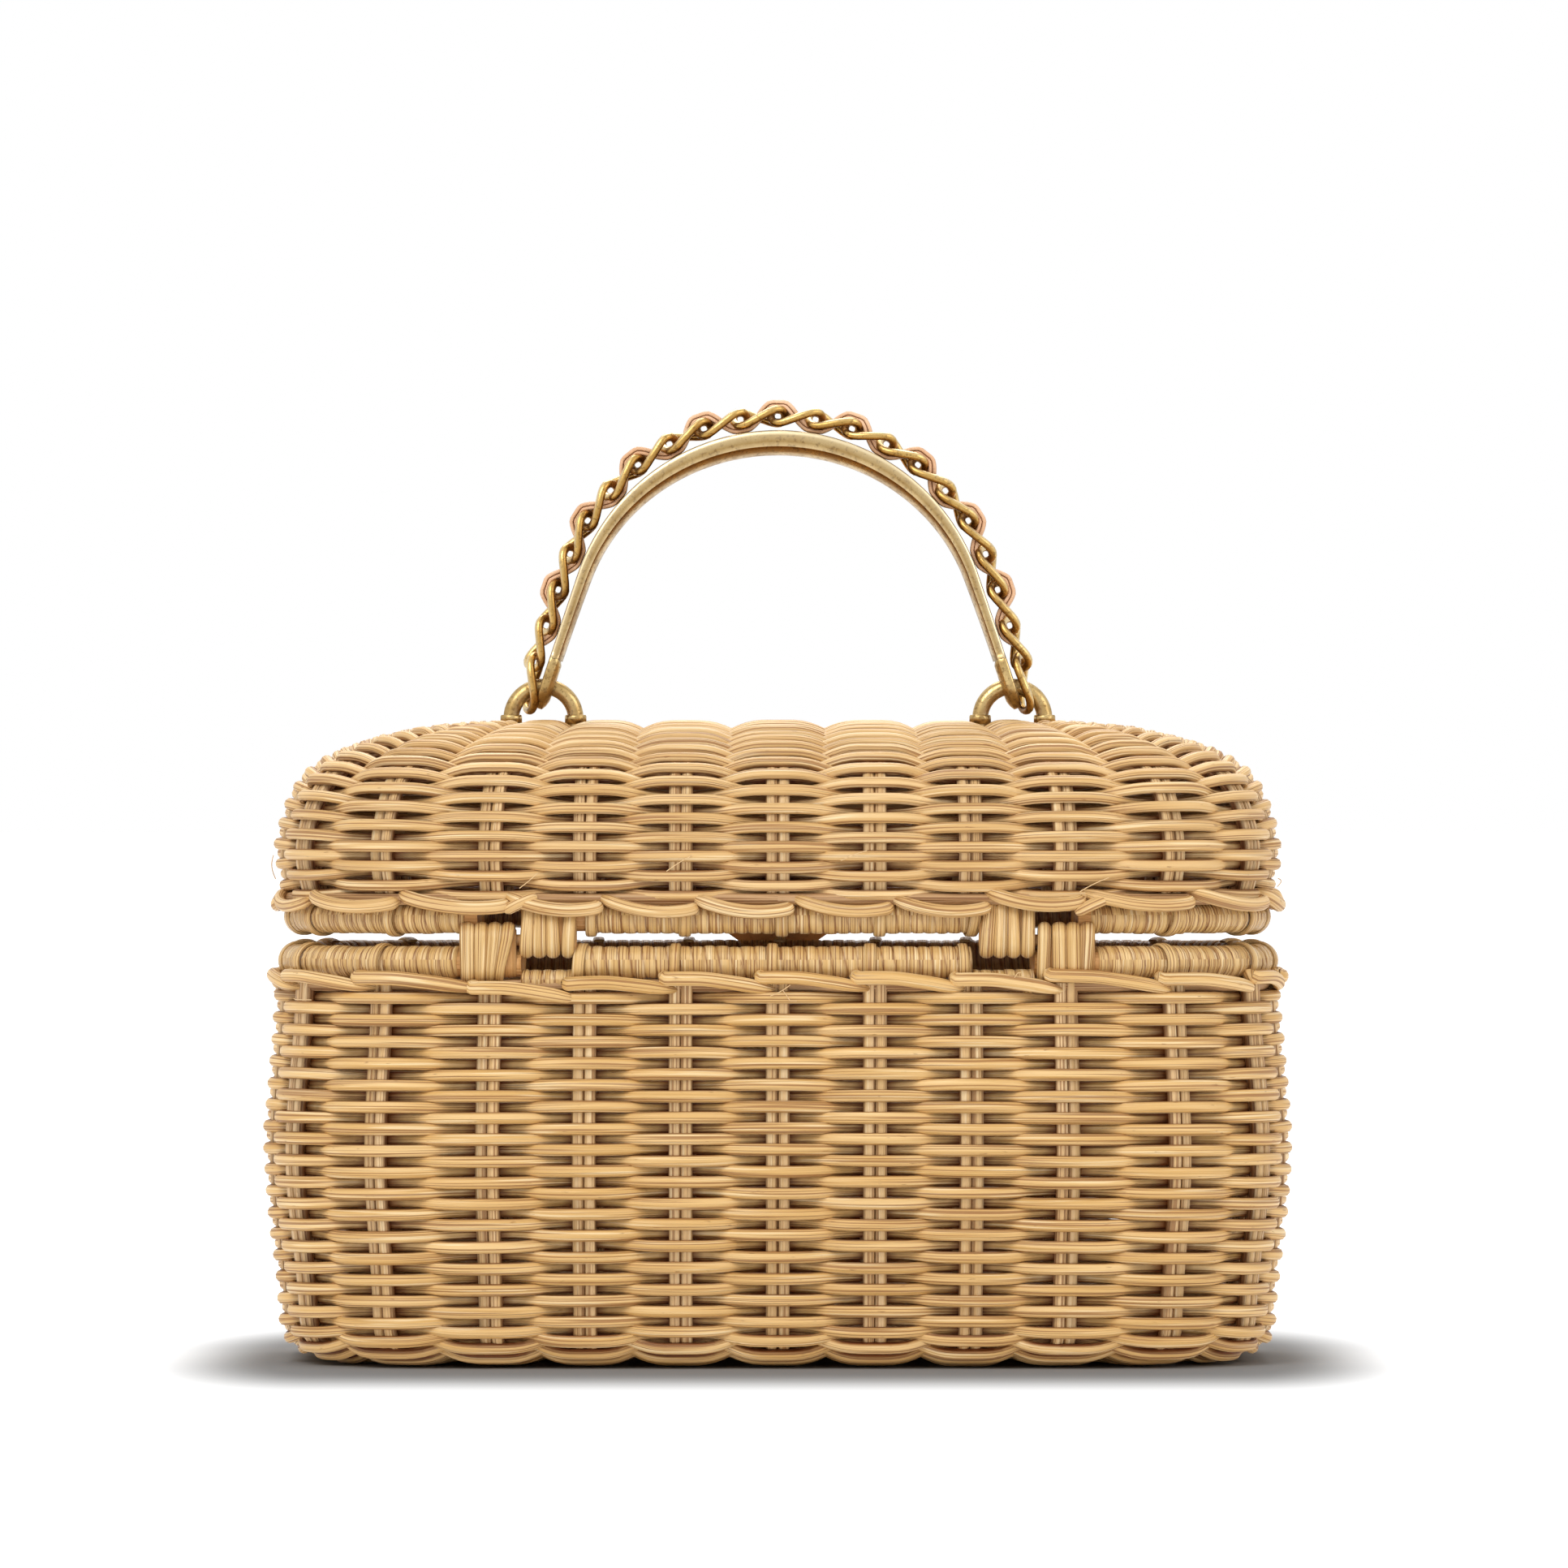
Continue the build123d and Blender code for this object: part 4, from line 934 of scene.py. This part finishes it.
# The eye: a plate round the hole whose edge runs on into the bar's sides
a = turns(bar["eyeStations"], 0)
c, s = np.cos(a), np.sin(a)
squared = np.minimum(bar["eyeRadius"] / np.maximum(np.abs(c), 1e-6), bar["plateTop"] / np.maximum(s, 1e-6))
edge = np.where(s > 0, squared, bar["eyeRadius"])
level = np.array([height for _, height, _ in bar["plate"]])
reachOut = np.stack([np.where(atEdge, edge, bar["eyeHole"]) + add for add, _, atEdge in bar["plate"]], -1)
for sign in (-1, 1):
    flip = np.array([sign, 1, 1])
    pivot, run, out = (v * flip for v in handleLine(np.array(barReach), bar["flatRadius"]))
    pivot = pivot - out * (bar["end"] / 2)
    eye = (pivot + sideways * (c[:, None] * reachOut)[..., None]
           - run * (s[:, None] * reachOut)[..., None] + out * level[None, :, None])
    parts.grid(eye[None, ::sign], True, True, np.linspace(0, 30, len(a) + 1),
               np.linspace(0, 20, len(level) + 1))
parts.build("handleBar", brass, "handle", ["handle_bar"])

chain = {
    "offset": 3.5, "wire": 1.05, "half": 6.6, "halfWidth": 3.9, "twist": 1.75, "count": 20, "endX": 63.3,
    "endFoot": 6.1, "endRise": 7.9, "endHalfWidth": 5.3, "endTwist": 1.1, "overlap": 3.3, "stations": 36,
    "sides": 10, "shade": 0.9, "glint": 0.55,
}
chainRadius = bar["flatRadius"] + chain["offset"]
chainEnd = handleReach(chainRadius, bar["pivotZ"] + chain["endRise"])
chainHalf = chainEnd - chain["overlap"]
linkPitch = 2 * chainHalf / (chain["count"] - 1)


def linkLoops(parts, centre, run, out, half, halfWidth, twist, look=chain):
    # A loop run * half * cos t + across * halfWidth * sin t, tilted by - out * twist * sin 2t
    t = turns(look["stations"], 0)
    across = np.cross(out, run)
    c, s = np.cos(t)[None, :, None], np.sin(t)[None, :, None]
    path = (centre[:, None] + run[:, None] * half * np.sign(c) * np.abs(c) ** 0.9
            + across[:, None] * halfWidth * np.sign(s) * np.abs(s) ** 0.85
            - out[:, None] * twist * np.sin(2 * t)[None, :, None])
    way = unit(np.roll(path, -1, 1) - np.roll(path, 1, 1))
    side = unit(np.cross(way, np.broadcast_to(out[:, None], way.shape)))
    up = unit(np.cross(side, way))
    # Painted shade on the wire's inner side and a painted glint on its outer side
    outer = np.sin(turns(look["sides"]))
    shade = look["shade"] * smoothStep(-outer, -0.3, 0.8)[None, None]
    glint = look["glint"] * smoothStep(outer, 0.55, 0.95)[None, None]
    parts.tube(path, side, up, look["wire"], look["wire"], look["sides"], True, glint, shade)


parts = MeshParts()
linkFrame = handleLine(-chainHalf + np.arange(chain["count"]) * linkPitch, chainRadius)
linkLoops(parts, *linkFrame, chain["half"], chain["halfWidth"], chain["twist"])
for sign in (-1, 1):
    high = handleLine(np.array(chainEnd), chainRadius)[0] * np.array([sign, 1, 1])
    low = np.array([sign * chain["endX"], 0, bar["pivotZ"] - chain["endFoot"]])
    way = unit(high - low) * -sign
    linkLoops(parts, ((low + high) / 2)[None], way[None], -np.cross(sideways, way)[None],
              np.linalg.norm(high - low) / 2, chain["endHalfWidth"], chain["endTwist"])
chainNodes = [f"chain_link_{n + 1:02d}" for n in range(chain["count"])]
chainNodes += ["chain_end_link_left", "chain_end_link_right"]
parts.build("chainLinks", brassChain, "handle", chainNodes)

lace = {"halfWidth": 2.3, "halfThick": 0.52, "outSwing": 3.3, "inSwing": 2.3, "fullness": 1.2, "perLink": 14,
        "sides": 20, "layerShift": 0.12, "rubbed": 0.35, "power": 0.5}
along = np.arange((chain["count"] - 1) * lace["perLink"] + 1) / lace["perLink"]
origin, run, out = handleLine(-chainHalf + along * linkPitch, chainRadius)
wave = -np.sin(math.pi * along)
swing = np.where(wave > 0, lace["outSwing"], -lace["inSwing"])
swing = swing * np.minimum(1, lace["fullness"] * np.abs(wave)) ** 0.9
path = origin + out * swing[:, None]
across = held(sideways, path)
up = unit(np.cross(across, unit(np.gradient(path, axis=0))))
# Two layers lie on each other, each a flat bar with rounded edges
parts = MeshParts()
rubbed = lace["rubbed"] * smoothStep(np.abs(np.sin(turns(lace["sides"]))), 0.5, 0.9)[None, None]
for layer in (-1, 1):
    shifted = path + up * (layer * lace["halfThick"]) + across * (lace["layerShift"] * layer)
    parts.tube(shifted[None], across[None], up[None], lace["halfWidth"], lace["halfThick"], lace["sides"],
               False, rubbed, power=lace["power"], mapShift=[layer * 40])
parts.build("leatherLace", lacing, "handle", ["leather_lace"])

# Rings: legs and half circle in one path, with painted shade inside and a painted glint on the upper left
rings = {"x": 59.7, "bend": 8.2, "wire": 2.05, "pivotZ": 170.8, "below": 13.0, "stations": 40, "sides": 16,
         "shade": 0.8, "glint": 0.35, "glintTurn": 3.9}
turn = np.linspace(0, math.pi, rings["stations"])
around = turns(rings["sides"])
shade = rings["shade"] * smoothStep(-np.cos(around), 0.0, 0.9)[None, None]
glint = rings["glint"] * smoothStep(np.cos(around - rings["glintTurn"]), 0.75, 1.0)[None, None]
centreZ = rings["pivotZ"] - rings["bend"]
for side, label in ((-1, "left"), (1, "right")):
    middle = side * rings["x"]
    arch = np.stack([middle - np.cos(turn) * rings["bend"], 0 * turn,
                     centreZ + np.sin(turn) * rings["bend"]], -1)
    foot = np.array([[middle - rings["bend"], 0, centreZ - rings["below"]]])
    path = np.concatenate([foot, arch, foot + [[2 * rings["bend"], 0, 0]]])
    out = np.stack([-np.cos(turn), 0 * turn, np.sin(turn)], -1)
    out = np.concatenate([[[-1, 0, 0]], out, [[1, 0, 0]]])
    across = held(sideways, path)
    parts = MeshParts()
    parts.tube(path[None], out[None], across[None], rings["wire"], rings["wire"], rings["sides"], False,
               glint, shade)
    parts.build("ring" + label.capitalize(), brass, "lid", ["ring_" + label])

collar = {"section": ((2.1, -1.0), (2.75, -1.0), (2.75, 0.9), (2.55, 1.3), (2.1, 1.3)), "height": 162.3,
          "stations": 40}
reach, level = np.array(collar["section"]).T
turn = turns(collar["stations"], 0)[:, None]
parts = MeshParts()
for x in (rings["x"] - rings["bend"], rings["x"] + rings["bend"]):
    for side in (-1, 1):
        points = np.stack(np.broadcast_arrays(side * x + np.cos(turn) * reach, np.sin(turn) * reach,
                                              collar["height"] + level), -1)
        parts.grid(points[None], True, True, np.linspace(0, 16, collar["stations"] + 1), np.linspace(0, 6, 6))
parts.build("ringCollars", brass, "lid", ["ring_collars"])
print("handle made")


# Finishes of the nodes that stay
staying = {
    "brass": (brass, ("ring_washers", "ring_nuts", "tab_rivets", "knob_plate", "knob_back_plate", "knob_pins",
                      "turn_knob")),
    "core": (bareCore, ("hinge_pin_left", "hinge_pin_right")),
    "leather": (tabLeather, ("closure_tab",)),
}
for finish, nodes in staying.values():
    for node in nodes:
        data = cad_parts[node].data
        data.materials.clear()
        data.materials.append(finish)
print("carried-over nodes finished")


# Floor, light and camera
studio = {
    "floorReach": 30.0, "floorPale": 0.92, "paintedShadowTone": 0.24, "floorGlow": 1.0,
    "shadeBox": (0.114, 0.035, 0.0), "shadeScale": (3.0, 1.0, 0.0), "shadeFrom": 0.04, "shadeTo": 0.16,
    "world": 0.70, "aimZ": 0.12, "cameraAway": 2.8, "cameraX": 0.00155, "cameraZ": 0.146,
    "frameWidth": 0.3993, "sensor": 36.0,
}
floorMesh = bpy.data.meshes.new("floor")
reach = studio["floorReach"]
floorMesh.from_pydata([(-reach, -reach, 0), (reach, -reach, 0), (reach, reach, 0), (-reach, reach, 0)], [],
                      [(0, 1, 2, 3)])
placed("floor", floorMesh)
f = Finish(bpy.data.materials.new("paleFloor"))
seen = f.node("LightPath", output=0)
pale, near = (f.node("BsdfDiffuse", None, {"Color": (tone, tone, tone, 1)})
              for tone in (studio["floorPale"], studio["paintedShadowTone"]))
# Painted shadow: the camera sees the floor's shadow painted deeper close to the case, by the distance to a
# box within its foot
spot = f.vector("SUBTRACT", (f.vector("ABSOLUTE", (f.place(),)), studio["shadeBox"]))
spot = f.vector("MAXIMUM", (spot, (0.0, 0.0, 0.0)))
away = f.vector("LENGTH", (f.stretched(spot, studio["shadeScale"]),), output=1)
strength = f.spread(away, studio["shadeFrom"], studio["shadeTo"]) * studio["floorGlow"]
glow = f.node("Emission", None, {"Color": (1, 1, 1, 1), "Strength": strength})
both = f.node("AddShader", None, {0: near, 1: glow})
surface = f.node("MixShader", None, {0: seen, 1: pale, 2: both})
f.node("OutputMaterial", None, {"Surface": surface})
floorMesh.materials.append(f.owner)

world = bpy.data.worlds.new("studioWorld")
bpy.context.scene.world = world
back = Finish(world)
white = None
for output in (0, 3, 6):
    ray = back.node("LightPath", output=output)
    white = ray if white is None else white.join("MAXIMUM", white, ray)
strength = studio["world"] + white * (1 - studio["world"])
sky = back.node("Background", None, {"Color": (1, 1, 1, 1), "Strength": strength})
back.node("OutputWorld", None, {"Surface": sky})

lamps = {
    "key": {"at": (-0.9, -1.5, 1.6), "size": 1.2, "power": 22.0},
    "side": {"at": (1.6, -0.9, 0.9), "size": 1.2, "power": 8.0},
    "top": {"at": (0.0, 1.1, 1.8), "size": 1.3, "power": 26.0},
}
for name, look in lamps.items():
    light = bpy.data.lights.new(name, "AREA")
    light.size = look["size"]
    light.energy = look["power"]
    lamp = placed(name, light)
    lamp.location = look["at"]
    aim = np.array([0, 0, studio["aimZ"]]) - np.array(look["at"])
    lamp.rotation_euler = (math.atan2(math.hypot(aim[0], aim[1]), -aim[2]), 0, math.atan2(-aim[0], aim[1]))

camera = bpy.data.cameras.new("photoCamera")
camera.sensor_width = studio["sensor"]
camera.lens = studio["sensor"] * studio["cameraAway"] / studio["frameWidth"]
camera.clip_start, camera.clip_end = 0.1, 100.0
viewer = placed("photoCamera", camera)
viewer.location = (studio["cameraX"], -studio["cameraAway"], studio["cameraZ"])
viewer.rotation_euler = (math.pi / 2, 0, 0)
bpy.context.scene.camera = viewer
bpy.context.scene.view_settings.view_transform = "Standard"

print("all made")
